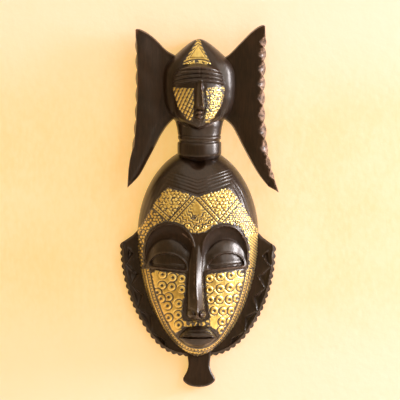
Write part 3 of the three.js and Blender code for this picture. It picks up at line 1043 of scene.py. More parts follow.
@dataclass(frozen=True)
class Flange:
    """The flat collar of scallops behind the face, with cut triangles between raised zigzags."""

    rim_depth: float = 8.5
    ridge_depth: float = 13.0
    ridge_inset: float = 5.0
    shoulder: Pair = (108.4, -130.4)
    rim_top: float = -138.0
    rim_bottom: float = -286.0
    rim_half_span: float = 107.6
    rim_level_power: float = 1.8
    rim_power: float = 0.45
    lobes: int = 22
    lobe_depth: float = 2.6
    lobe_steps: int = 9
    tilt: float = 0.02
    sag: Pair = (4.6, 1.6)
    upper_edge: Outline = (
        (60.0, -80.0), (66.0, -84.0), (82.0, -111.0), (90.0, -119.4), (100.0, -126.4),
    )
    outer_points: Outline = (
        (96.4, -137.0), (99.8, -159.0), (92.0, -188.6), (82.2, -221.0), (64.4, -248.4), (44.0, -269.0),
    )
    inner_points: Outline = (
        (88.6, -144.4), (82.4, -173.0), (76.0, -201.6), (64.4, -229.0), (46.0, -258.0),
    )
    pocket_cut: float = 3.8
    pocket_margin: float = 0.8
    pocket_slope: float = 0.8
    pocket_reach: Pair = (2.0, 17.0)
    line_height: float = 1.2
    joint_cut: float = 2.6
    joint_reach: float = 2.8
    spacing: float = 1.1

    def edge(self) -> Line:
        """The smooth line that the scallops stand on, from the shoulder to the bottom.

        Returns:
            The line.
        """
        t = np.sin(np.linspace(0.0, np.pi / 2, 60)) * 0.9999
        x = self.rim_half_span * (1.0 - t**self.rim_level_power) ** self.rim_power
        z = lerp(self.rim_top, self.rim_bottom, t)
        return Line(np.vstack([self.shoulder, np.stack([x, z], axis=1)]))

    def outline(self) -> Array:
        """The outline with its scallops.

        Returns:
            Points of the outline.
        """
        points, place = self.edge().points, np.arange(self.lobes * self.lobe_steps + 1)
        run = run_along(points)
        way = place / place[-1] * run[-1]
        back, here, there = (
            np.stack([np.interp(way + step, run, axis) for axis in points.T], axis=1)
            for step in (-1.0, 0.0, 1.0)
        )
        inwards = (there - back)[:, ::-1] * (1.0, -1.0)
        inwards /= np.linalg.norm(inwards, axis=1, keepdims=True)
        inset = self.lobe_depth * (1.0 - np.sin(np.pi * (place % self.lobe_steps) / self.lobe_steps))
        side = np.vstack([self.upper_edge, here + inset[:, None] * inwards])
        x, z = np.vstack([side, mirrored(side)]).T
        return np.stack([x, z - self.drop(x, z)], axis=1)

    def drop(self, x: Array, z: Array) -> Array:
        """How far the flange hangs lower than an even one, most of all at the lower left."""
        low = ramp(-225.0, -256.0, z) * bump(np.abs(x) - 48.0, 44.0)
        return self.tilt * x + lerp(*self.sag, ramp(-12.0, 12.0, x)) * low

    def zigzag(self) -> Array:
        """The points of the raised zigzag on the right side, from the top."""
        pairs = zip(self.outer_points, self.inner_points)
        return np.array([*(point for pair in pairs for point in pair), self.outer_points[-1]])

    def depth_at(self, x: Array, z: Array) -> Array:
        """Depth of the front.

        Args:
            x, z: Positions across and up.

        Returns:
            The depths.
        """
        aside = np.abs(x)
        z = z + self.drop(x, z)
        from_edge = np.abs(self.edge().near(aside, z)[0])
        slope = ramp(0.5, self.ridge_inset - 0.6, from_edge)
        depth = lerp(self.rim_depth, self.ridge_depth - self.line_height, slope)
        depth = depth + self.line_height * bump(from_edge - self.ridge_inset, 1.1)
        upper = np.abs(Line(np.asarray(self.upper_edge)).near(aside, z)[0])
        depth = depth - self.joint_cut * (1.0 - ramp(0.0, self.joint_reach, upper))
        line = Line(self.zigzag())
        depth = depth + self.line_height * bump(line.near(aside, z)[0], 1.2)
        for i in range(len(self.inner_points)):
            corners = line.points[2 * i : 2 * i + 3]
            inside = depth_inside(aside, z, corners) - self.pocket_margin
            to_apex = np.hypot(aside - corners[1][0], z - corners[1][1])
            slope = 1.0 - self.pocket_slope * ramp(*self.pocket_reach, to_apex)
            depth = depth - self.pocket_cut * slope * ramp(-0.4, 1.6, inside)
        return depth

    def build(self) -> Piece:
        """Make the flange as one closed solid.

        Returns:
            The closed solid.
        """
        outline = self.outline()
        x, z = grid_over(outline, self.spacing)
        front, back = in_space(x, self.depth_at(x, z), z), in_space(x, BEHIND_WALL, z)
        return clipped_sheet("flange", depth_inside(x, z, outline), front, back)


@dataclass(frozen=True)
class Stem:
    """The flared foot under the chin."""

    x: float = 1.5
    outline: Outline = (
        (17.0, -266.0), (16.6, -280.0), (15.0, -292.0), (15.0, -299.0), (17.2, -306.5),
        (20.6, -312.5), (22.2, -316.6), (20.6, -320.4), (14.0, -324.9), (7.0, -326.8),
        (0.0, -327.4),
    )
    depth: float = 14.0
    bevel: float = 2.2
    spacing: float = 1.2

    def build(self) -> Piece:
        """Make the stem as one closed solid.

        Returns:
            The closed solid.
        """
        right = spline(self.outline, 4)
        outline = np.vstack([right, mirrored(right[:-1])]) + (self.x, 0.0)
        x, z = grid_over(outline, self.spacing)
        inside = depth_inside(x, z, outline)
        edge = np.clip(1.0 - inside / self.bevel, 0.0, 1.0)
        depth = self.depth - self.bevel * edge**2 + 0.25 * noise(x, z, 7.0, 5)
        return clipped_sheet("stem", inside, in_space(x, depth, z), in_space(x, BEHIND_WALL, z))


@dataclass(frozen=True)
class Neck:
    """The round neck with a groove and a broad collar."""

    x: float = 2.0
    centre_depth: float = 22.0
    depth_scale: float = 0.88
    lean_back: float = 13.0
    lean_levels: Pair = (16.0, 42.0)
    sag: float = 2.6
    sag_levels: Pair = (30.0, 20.0)
    profile: Outline = (
        (0.5, 46.0), (24.0, 46.0), (34.4, 42.5), (33.0, 37.0), (31.4, 31.0), (30.4, 26.0),
        (29.8, 20.2),
        (29.0, 19.6), (29.0, 18.9), (29.7, 18.2), (29.8, 16.0), (29.5, 13.8), (28.4, 13.0),
        (28.1, 12.0), (28.1, 10.6), (28.5, 10.0), (29.6, 9.8), (30.2, 9.0), (30.4, 6.0),
        (30.4, -4.0), (30.2, -7.4), (29.6, -8.3), (28.0, -9.0), (24.0, -12.0), (0.5, -19.0),
    )
    steps: int = 150
    spacing: float = 1.2

    def build(self) -> Piece:
        """Make the neck as one closed solid.

        Returns:
            The closed solid.
        """
        profile = np.asarray(self.profile)
        fine = []
        for (r0, z0), (r1, z1) in zip(profile[:-1], profile[1:]):
            count = max(1, int(math.hypot(r1 - r0, z1 - z0) / self.spacing))
            share = np.linspace(0.0, 1.0, count, endpoint=False)[:, None]
            fine.append(lerp(np.array([r0, z0]), np.array([r1, z1]), share))
        fine.append(profile[-1:])
        fine = np.vstack(fine)
        angle = np.linspace(0.0, 2.0 * np.pi, self.steps, endpoint=False)[None, :]
        radius, z = fine[:, :1], fine[:, 1:]
        x = self.x + radius * np.cos(angle)
        back = self.lean_back * ramp(*self.lean_levels, z)
        depth = self.centre_depth - back + radius * self.depth_scale * np.sin(angle)
        front = np.maximum(np.sin(angle), 0.0) ** 2 * ramp(*self.sag_levels, z)
        return loft("neck", in_space(x, depth, z - self.sag * (front - 0.5)))


HOOD_FORM = RowForm(section_power=3.2, x=1.8, rows=(
    (32.0, 22.0, 30.0), (41.4, 35.0, 34.0), (52.5, 44.6, 37.0), (66.0, 49.8, 39.0),
    (80.0, 51.4, 40.6), (97.0, 51.4, 41.4), (110.0, 49.8, 40.6), (122.0, 43.2, 39.0),
    (130.0, 34.6, 37.0), (135.3, 28.8, 35.5), (141.0, 22.4, 33.5), (146.4, 15.6, 31.0),
    (150.0, 10.4, 28.5), (152.2, 6.0, 26.0), (153.2, 1.6, 23.0),
))

SMALL_FACE_FORM = RowForm(section_power=2.4, x=0.6, foot=10.0, rows=(
    (29.6, 4.0, 46.0), (31.0, 10.5, 48.0), (33.7, 17.0, 50.0), (37.0, 22.6, 51.6),
    (40.5, 27.2, 52.8), (45.0, 31.0, 54.0), (52.0, 34.2, 55.2), (60.0, 36.2, 56.2), (70.0, 38.0, 56.4),
    (81.0, 39.8, 55.6), (90.0, 40.2, 54.8), (100.0, 39.0, 54.2), (108.0, 35.0, 53.0),
    (114.0, 27.0, 51.0), (118.0, 15.0, 47.5), (119.6, 5.0, 44.0),
))


@dataclass(frozen=True)
class Hood:
    """The smooth hood over the small head, rising to a blunt point."""

    form: RowForm = HOOD_FORM
    columns: int = 110
    spacing: float = 1.4

    def build(self) -> Piece:
        """Make the hood as one closed solid."""
        levels, angle = self.form.all_levels(self.spacing), np.linspace(0.0, np.pi, self.columns)
        return half_round("hood", *self.form.grid(levels, angle), BEHIND_WALL)


@dataclass(frozen=True)
class SmallFace:
    """The small face: a ribbed brow, a long nose and a small mouth inside a raised rim."""

    form: RowForm = SMALL_FACE_FORM
    brow_level: float = 93.6
    brow_height: float = 4.2
    brow_droop: float = 4.0
    brow_half_width: float = 34.0
    brow_notch: Triple = (0.9, 3.6, 1.3)
    rib_pitch: float = 5.8
    rib_height: float = 2.6
    rib_droop: float = 1.4
    nose_rows: Rows = (
        (56.0, 6.6, 69.0), (59.0, 7.2, 70.5), (72.0, 6.0, 67.0), (95.5, 4.4, 61.5),
    )
    nose_x: float = 2.4
    nose_leans: Pair = (4.8, 1.8)
    mouth_x: float = 2.0
    mouth_depth: float = 54.5
    mouth_levels: Pair = (51.6, 45.0)
    mouth_axes: Triple = (5.6, 7.5, 3.4)
    rim_height: float = 1.5
    blend: float = 0.6
    columns: int = 170
    spacing: float = 0.8

    def brow(self, x: Array, z: Array) -> Array:
        """Height of the ribbed brow over the face.

        Args:
            x, z: Positions across and up.

        Returns:
            The height.
        """
        aside = ((x - self.form.x) / self.brow_half_width) ** 2
        above = z + self.brow_droop * aside - self.brow_level
        limb = np.abs(x - self.form.x) / np.maximum(self.form.sizes(z)[0], 4.0)
        kept = ramp(1.0, 0.86, limb)
        lifted = ramp(-0.6, 1.0, above) * self.brow_height * ramp(26.0, 19.0, above)
        arch = above + self.rib_droop * aside * ramp(-2.0, 12.0, above)
        rib = np.abs(np.sin(np.pi * arch / self.rib_pitch)) ** 0.8
        ribs = self.rib_height * (rib - 1.0) * ramp(-0.5, 1.5, above)
        notch = ridge_at(x, self.brow_notch) * ramp(4.0, 8.0, above)
        return (lifted + ribs - notch) * kept

    def carve(self, x: Array, z: Array, depth: Array) -> Array:
        """Add the brow, nose and mouth to the plain form.

        Args:
            x, z: Positions across and up.
            depth: Depth before.

        Returns:
            Depth after.
        """
        levels, widths, ridges = np.asarray(self.nose_rows).T
        half_width = np.interp(z, levels, widths)
        ridge = np.interp(z, levels, ridges)
        up = np.clip((z - levels[0]) / (levels[-1] - levels[0]), 0.0, 1.0)
        ridge_x = self.nose_x + lerp(*self.nose_leans, up)
        aside = x - ridge_x
        reach = np.where(aside > 0.0, self.nose_x - ridge_x, ridge_x - self.nose_x) + half_width
        side = np.clip((np.abs(aside) - 0.4) / reach, 0.0, 1.0)
        roof = ridge - (ridge - depth + 1.0) * (0.7 * side + 0.3 * side**3)
        roof = roof - 5.0 * np.maximum(levels[0] - z, 0.0) - 3.0 * np.maximum(z - levels[-1], 0.0)
        face = depth + self.brow(x, z)
        face = smooth_max(face, roof, self.blend)
        across, out, up = self.mouth_axes
        for level in self.mouth_levels:
            reach = 1.0 - ((x - self.mouth_x) / across) ** 2 - ((z - level) / up) ** 2
            lip = self.mouth_depth + out * np.sqrt(np.maximum(reach, 0.0))
            face = smooth_max(face, np.where(reach > 0.0, lip, -40.0), self.blend)
        return face

    def build(self) -> Piece:
        """Make the small face as one closed solid.

        Returns:
            The closed solid.
        """
        angle = np.linspace(0.0, np.pi, self.columns)
        x, plain, z = self.form.grid(self.form.all_levels(self.spacing), angle)
        limb = np.abs(np.cos(angle)) * ramp(92.0, 84.0, z)
        rim = self.rim_height * bump(limb - 0.93, 0.05)
        wider = x * (1.0 + rim / np.maximum(self.form.sizes(z)[0], 4.0))
        return half_round("small_face", wider, self.carve(x, z, plain) + rim, z, self.form.foot - 1.0)


@dataclass(frozen=True)
class Wing:
    """One of the two broad wings beside the small head, with a row of chips cut along its rim."""

    name: str
    side: int
    rim: Outline
    lower: Outline
    top: Outline
    back_depth: float = 8.0
    edge_depth: float = 13.0
    front_depth: float = 22.0
    lean: float = 0.12
    lean_from: float = 40.0
    chip_levels: tuple[float, ...] = (
        157.4, 141.5, 122.5, 101.9, 81.3, 60.8, 38.6, 15.6, -8.1, -26.4, -42.2,
    )
    chip_apex: float = 7.0
    chip_fade: float = 0.45
    chip_swell: float = 2.5
    pinch: float = 1.7
    rim_bevel: float = 1.0
    ridge_place: float = 0.55
    valley: float = 1.4
    lower_bevel: float = 7.0
    top_bevel: float = 2.4
    shoulder: float = 0.25
    shoulder_rise: float = 0.6
    uneven: float = 0.4
    steps: int = 8
    spacing: float = 3.0

    def rim_line(self, swell: float, apex: float) -> Array:
        """Draw the rim with its chips.

        Args:
            swell: Height of a round swell in each chip.
            apex: Depth of a sharp cut in each chip.

        Returns:
            Points from the top down.
        """
        line = spline(self.rim, 40)
        run = run_along(line)
        chips = len(self.chip_levels) - 1
        cuts = np.interp(-np.asarray(self.chip_levels), -line[:, 1], run)
        beat = np.arange(chips * self.steps + 1) / self.steps
        chipped = np.interp(beat, np.arange(chips + 1), cuts)
        above = np.linspace(0.0, cuts[0], 5)[:-1]
        below = np.linspace(cuts[-1], run[-1], 5)[1:]
        way = np.concatenate([above, chipped, below])
        beat = np.concatenate([np.zeros(4), beat, np.full(4, float(chips))])
        taper = np.clip(2.5 * np.minimum(beat, chips - beat), 0.0, 1.0)
        taper = taper * (1.0 - self.chip_fade * ramp(chips - 3.5, chips - 0.5, beat))
        t = beat % 1.0
        peak = np.where(beat < 5.0, 0.5, 0.625)
        out = swell * np.sin(np.pi * t)
        inwards = apex * np.where(t < peak, t / peak, (1.0 - t) / (1.0 - peak))
        x = np.interp(way, run, line[:, 0]) + self.side * taper * (out - inwards - self.pinch)
        return np.stack([x, np.interp(way, run, line[:, 1])], axis=1)

    def edges(self, bevel: Pair, top_bevel: float) -> Array:
        """The lower and the top edge, set in by a bevel.

        Args:
            bevel: How far the lower edge is set in.
            top_bevel: How far the top edge is set in.

        Returns:
            Points of both edges.
        """
        lower, top = spline(self.lower, 6), spline(self.top, 6)
        taper = np.minimum(1.0, (np.arange(len(lower)) + 3) / 14.0)[:, None]
        lower = lower + taper * (self.side * bevel[0], bevel[1])
        taper = np.minimum(1.0, (len(top) - np.arange(len(top))) / 10.0)[:, None]
        return np.vstack([lower, top - taper * (0.0, top_bevel)])

    def build(self) -> Piece:
        """Make the wing as one closed solid.

        Returns:
            The closed solid.
        """
        outer = np.vstack([self.rim_line(self.chip_swell, 0.0), self.edges((0.0, 0.0), 0.0)])
        bevel = (self.lower_bevel * 0.6, self.lower_bevel * 0.8)
        inner_rim = self.rim_line(0.0, self.chip_apex) - (self.side * self.rim_bevel, 0.0)
        inner = np.vstack([inner_rim, self.edges(bevel, self.top_bevel)])
        half = (1.0 - self.shoulder) * outer + self.shoulder * inner
        half[: len(inner_rim)] = outer[: len(inner_rim)]
        half_depth = np.full(len(outer), lerp(self.edge_depth, self.front_depth, self.shoulder_rise))
        half_depth[: len(inner_rim)] = self.edge_depth + 0.01
        layers = [
            (outer, self.back_depth), (outer, self.edge_depth), (half, half_depth),
            (inner, self.swell(inner)),
        ]
        count = len(outer)
        faces = []
        for base in range(0, (len(layers) - 1) * count, count):
            for a, b in zip(range(count), [*range(1, count), 0]):
                faces.append([base + a, base + b, base + b + count, base + a + count][:: -self.side])
        middle, front = filled(inner, self.spacing)
        base = (len(layers) - 1) * count
        faces += [[v + base for v in f] for f in front]
        depth = self.swell(middle) + self.uneven * noise(middle[:, 0], middle[:, 1], 16.0, 9)
        points = [self.placed(*layer) for layer in [*layers, (middle, depth)]]
        faces += [list(reversed(f)) for f in filled(outer, 400.0)[1]]
        return new_object(self.name, np.vstack(points), faces)

    def swell(self, points: Array) -> Array:
        """Depth of the front, which rounds off towards the lower edge.

        Args:
            points: Points in the front view.

        Returns:
            The depths.
        """
        x, z = points.T
        from_lower = np.abs(Line(spline(self.lower, 4)).near(x, z)[0])
        from_rim = np.abs(Line(spline(self.rim, 4)).near(x, z)[0])
        share = from_lower / (from_lower + from_rim + 1e-6)
        rise = np.sin(0.5 * np.pi * np.minimum(share / self.ridge_place, 1.0)) ** 0.8
        dip = self.valley * ramp(78.0, 46.0, np.abs(x)) * rise
        return lerp(self.edge_depth + 1.0, self.front_depth, rise) - dip

    def placed(self, points: Array, depth: Array) -> Array:
        """Put outline points into space, leaning out with their distance from the middle."""
        lean = self.lean * np.maximum(np.abs(points[:, 0]) - self.lean_from, 0.0)
        return in_space(points[:, 0], depth + lean, points[:, 1])


RIGHT_WING = Wing(
    name="right_wing",
    side=1,
    rim=(
        (93.0, 170.6), (93.6, 150.0), (92.6, 114.0), (91.7, 71.0), (92.0, 48.0), (93.6, 27.0),
        (95.6, 4.0), (99.8, -17.0), (104.4, -35.0), (111.9, -58.6),
    ),
    lower=(
        (97.0, -50.4), (84.2, -34.5), (71.8, -13.8), (60.8, 7.0), (53.9, 20.7), (45.6, 34.5),
        (30.0, 48.0),
    ),
    top=(
        (24.0, 123.0), (39.6, 129.5), (48.8, 137.5), (56.7, 145.9), (64.7, 154.1), (72.6, 162.1),
        (80.5, 168.4), (86.0, 171.6), (89.6, 172.6), (91.4, 172.2),
    ),
)

LEFT_WING = Wing(
    name="left_wing",
    side=-1,
    chip_levels=tuple(155.8 - 22.7 * chip for chip in range(8)),
    chip_apex=0.2,
    chip_fade=0.0,
    chip_swell=1.9,
    pinch=1.2,
    rim_bevel=0.7,
    ridge_place=0.36,
    rim=((-86.4, 165.6), (-85.4, 97.0), (-86.6, 48.0), (-90.0, 7.0), (-95.5, -21.0), (-97.6, -51.9)),
    lower=(
        (-91.0, -46.5), (-80.1, -34.0), (-69.0, -13.8), (-58.0, 7.0), (-51.0, 20.7),
        (-41.4, 34.5), (-28.0, 48.0),
    ),
    top=(
        (-22.0, 126.0), (-33.0, 131.6), (-41.2, 136.2), (-47.6, 141.6), (-54.3, 148.8),
        (-62.2, 156.2), (-70.1, 161.9), (-76.5, 165.4), (-81.2, 167.0), (-84.8, 167.0),
    ),
)


@dataclass(frozen=True)
class Back:
    """What is cut from behind: the hollow, the nail hole and the flat that lies on the wall."""

    form: FaceForm = field(default_factory=FaceForm)
    wall: float = 15.0
    front: float = 0.66
    top: float = -32.0
    bottom: float = -262.0
    widest: float = 70.0
    nail_radius: float = 2.6
    nail_depth: float = 18.0
    rows: int = 90
    behind: float = BEHIND_WALL - 2.0

    def hollow(self) -> Piece:
        """Make the hollow behind the face.

        Returns:
            The closed solid.
        """
        t = (1.0 - np.cos(np.pi * np.arange(self.rows + 1) / self.rows))[:, None] / 2.0
        z = lerp(self.bottom, self.top, t)
        ends = np.sqrt(np.maximum(1.0 - (2.0 * t - 1.0) ** 2, 0.0004))
        half_width, middle = self.form.sizes(z)
        half_width = np.maximum(np.minimum(half_width - self.wall, self.widest * ends**0.7), 1.0)
        depth = np.maximum(middle * self.front * ends**0.5, 0.5)
        depth = depth + 0.5 * noise(np.ones(z.shape), z, 11.0, 21)
        angle = np.linspace(0.0, np.pi, 60)
        across, out = around(angle, 2.4)
        x = half_width * across
        out = depth * out + 0.5 * noise(x, z, 9.0, 22) * np.sin(angle)
        z = np.broadcast_to(z, x.shape)
        return half_round("hollow", x, np.maximum(out, 0.0), z, self.behind)

    def nail_hole(self) -> Piece:
        """Make the hole for the nail.

        Returns:
            The closed solid.
        """
        ring = around(np.linspace(0.0, 2.0 * np.pi, 32, endpoint=False), 2.0)
        outline = np.stack(ring, axis=1) * self.nail_radius
        return block_between("nail_hole", outline, self.behind, self.nail_depth)

    def wall_block(self) -> Piece:
        """Make the block that leaves the back flat."""
        corners = np.array([(-200.0, -400.0), (200.0, -400.0), (200.0, 250.0), (-200.0, 250.0)])
        return block_between("wall_block", corners, -60.0, 0.0)


# Brass sheets


@dataclass
class Relief:
    """Height and paint of a sheet while its marks are struck."""

    x: Array
    z: Array
    height: Array = field(init=False)
    paint: Array = field(init=False)
    band_rise: float = 0.35
    line_cut: float = 0.8
    line_reach: float = 1.8
    dot_cut: float = 0.8
    dot_reach: float = 2.3
    ring_rise: float = 0.72
    ring_cut: float = 0.95
    hole_cut: float = 1.2

    def __post_init__(self) -> None:
        """Start with a plain bright sheet."""
        self.height = np.zeros(self.x.shape)
        self.paint = np.zeros(self.x.shape)

    def sink(self, shape: Array, cut: float, paint: float = 1.0) -> None:
        """Strike a shape in, with paint left in it.

        Args:
            shape: Share of the full cut, from 0 to 1.
            cut: Depth of the strike.
            paint: Share of paint at the bottom.
        """
        self.lift(shape, -cut)
        self.cover(paint * ramp(0.25, 0.75, shape))

    def lift(self, shape: Array, rise: float) -> None:
        """Raise a shape."""
        self.height = self.height + rise * shape

    def cover(self, shape: Array) -> None:
        """Leave paint on a shape."""
        self.paint = np.maximum(self.paint, shape)

    def clear(self, shape: Array) -> None:
        """Beat a shape flat and bright again."""
        self.height = self.height * (1.0 - shape)
        self.paint = self.paint * (1.0 - shape)

    def dotted_band(self, line: Line, half_width: float, pitch: float) -> None:
        """Strike a band: a line on each side and a row of dots between.

        Args:
            line: Middle of the band.
            half_width: Distance from the middle to each line.
            pitch: Distance between dots.
        """
        distance, along = line.near(self.x, self.z)
        on_band = ramp(half_width + 1.0, half_width, np.abs(distance))
        self.clear(on_band)
        self.lift(bump(distance, half_width + 0.4), self.band_rise)
        self.sink(bump(np.abs(distance) - half_width, self.line_reach), self.line_cut)
        beat = (along / pitch + 0.5) % 1.0 - 0.5
        self.sink(bump(np.hypot(distance, beat * pitch), self.dot_reach), self.dot_cut)

    def ring(self, x: float, z: float, radius: float, lean: float, hole: float = 1.85) -> None:
        """Strike a ring with a hole in its middle.

        Args:
            x, z: Place across and up.
            radius: Radius of the struck circle.
            lean: Direction in which the circle is struck deepest, in radians.
            hole: Radius of the hole.
        """
        distance = np.hypot(self.x - x, self.z - z)
        angle = np.arctan2(self.z - z, self.x - x)
        near = ramp(radius + 1.2, radius - 0.6, distance)
        self.clear(near)
        deep = 0.78 + 0.32 * np.cos(angle - lean)
        width = 1.1 + 0.13 * radius
        self.lift(bump(distance - 0.54 * radius, 0.5 * radius), self.ring_rise)
        self.sink(bump(distance - radius, width) * deep, self.ring_cut)
        self.sink(ramp(hole + 0.7, hole - 0.3, distance), self.hole_cut)

    def crescents(
        self, where: Array, marks: Scatter, radius: float, lean: float, cut: float = 0.65, rise: float = 0.6
    ) -> None:
        """Strike small open rings over an area, each around a bead.

        Args:
            where: Share of the marks that shows, by place.
            marks: How the rings are spread.
            radius: Radius of each ring.
            lean: Direction in which most rings are struck deepest.
            cut: Depth of each ring.
            rise: Height of each bead.
        """
        distance, angle, share = marks.nearest(self.x, self.z)
        opening = ramp(-0.6, 0.35, np.cos(angle - lean - 2.2 * (share - 0.5)))
        self.lift(bump(distance, radius + 0.4) * where, rise)
        self.sink(bump(distance - radius, 1.2) * opening * where, cut)

    def hatch(self, where: Array, way: Array, pitch: float, cut: float = 0.4) -> None:
        """Strike fine parallel lines over an area.

        Args:
            where: Share of the lines that shows, by place.
            way: Distance across the lines, by place.
            pitch: Distance between lines.
            cut: Depth of the lines.
        """
        wave = 0.5 - 0.5 * np.cos(2.0 * np.pi * way / pitch)
        self.sink(wave**2 * where, cut, 0.85)

    def knobs(self, where: Array, marks: Scatter, rise: float = 0.5) -> None:
        """Leave round knobs between painted hollows over an area.

        Args:
            where: Share of the marks that shows, by place.
            marks: How the marks are spread.
            rise: Height of each.
        """
        distance, _, _ = marks.nearest(self.x, self.z)
        knob = bump(distance, marks.pitch * 0.56)
        self.lift(knob * where, rise)
        self.sink(ramp(0.42, 0.1, knob) * where, 0.3)


@dataclass(frozen=True)
class Sheet:
    """A thin brass sheet over a form, struck with a pattern of its own."""

    node: str
    form: Form
    lift: float = 1.0
    gap: float = 0.2
    spacing: float = 0.6
    low: float = 0.0
    high: float = 0.0
    first_angle: float = 0.0
    last_angle: float = math.pi
    ragged: float = 0.9
    seed: int = 1
    wave_pitch: float = 6.5
    wave_height: float = 0.14
    rolled: float = 0.35
    deepest: float = 0.72
    highest: float = 0.75
    shading_angle: float = 80.0

    def outline(self) -> Array:
        """Outline in the front view."""
        raise NotImplementedError

    def strike(self, relief: Relief) -> None:
        """Strike the pattern."""
        raise NotImplementedError

    def build(self) -> Piece:
        """Make the sheet as a closed object with its paint as an attribute.

        Returns:
            The closed solid.
        """
        levels = self.form.levels(self.low, self.high, self.spacing)
        x, depth, _ = self.form.grid(levels, np.linspace(self.first_angle, self.last_angle, 200))
        run = np.hypot(np.diff(x, axis=1), np.diff(depth, axis=1)).sum(axis=1).max()
        angle = np.linspace(self.first_angle, self.last_angle, int(run / self.spacing))
        x, depth, z = self.form.grid(levels, angle)
        base = in_space(x, depth, z)
        normal = np.cross(np.gradient(base, axis=0), np.gradient(base, axis=1))
        normal /= np.linalg.norm(normal, axis=-1, keepdims=True) + 1e-9
        normal *= np.where(normal[..., 1:2] > 0.0, -1.0, 1.0)
        torn = self.ragged * (noise(x, z, 2.6, self.seed) + 0.6 * noise(x, z, 1.3, self.seed + 1))
        inside = depth_inside(x, z, self.outline()) + 0.5 * torn
        near = inside > -3.0 * self.spacing
        relief = Relief(x[near], z[near])
        relief.lift(noise(relief.x, relief.z, self.wave_pitch, self.seed + 2), self.wave_height)
        self.strike(relief)
        edge = inside[near]
        patch = noise(relief.x, relief.z, 2.7, self.seed + 3)
        limb = ramp(0.985, 0.95, np.abs(np.cos(np.broadcast_to(angle, x.shape)[near])))
        relief.cover(limb * ramp(1.7, 0.3, edge + 1.2 * patch))
        relief.lift(ramp(1.6, 0.0, edge), -self.rolled)
        height, paint = np.zeros(x.shape), np.zeros(x.shape)
        height[near] = np.clip(relief.height, -self.deepest, self.highest)
        paint[near] = relief.paint
        front = base + normal * (self.lift + height)[..., None]
        back = base + normal * self.gap
        piece = clipped_sheet(f"{self.node}_embossed", inside, front, back, {"paint": paint})
        shade(piece, self.shading_angle)
        return piece


def brow_line(eye: Eye, side: int, clearance: float) -> Array:
    """The line around an eye socket, from its outer foot over the arch to its inner side.

    Args:
        eye: The eye.
        side: 1 for the right side, -1 for the left.
        clearance: Distance from the socket.

    Returns:
        Points of the line.
    """
    angle = np.linspace(-0.3, math.pi * 0.745, 36)
    across, up = around(angle, eye.power)
    wide = clearance * (0.4 + 0.6 * np.maximum(np.sin(angle), 0.0))
    height = np.where(up > 0.0, eye.half_height, eye.foot_half_height)
    x = side * (eye.x + across * (eye.half_width + wide))
    return np.stack([x, eye.z + up * (height + wide)], axis=1)


STRIP_TOP = -163.0
STRIP_LINE = spline(
    [
        (66.0, STRIP_TOP), (61.5, -185.0), (56.4, -204.0), (50.0, -220.8), (43.2, -235.6),
        (36.0, -248.0), (27.5, -259.5), (15.5, -268.6), (6.0, -271.8), (0.3, -272.4),
    ],
    6,
)


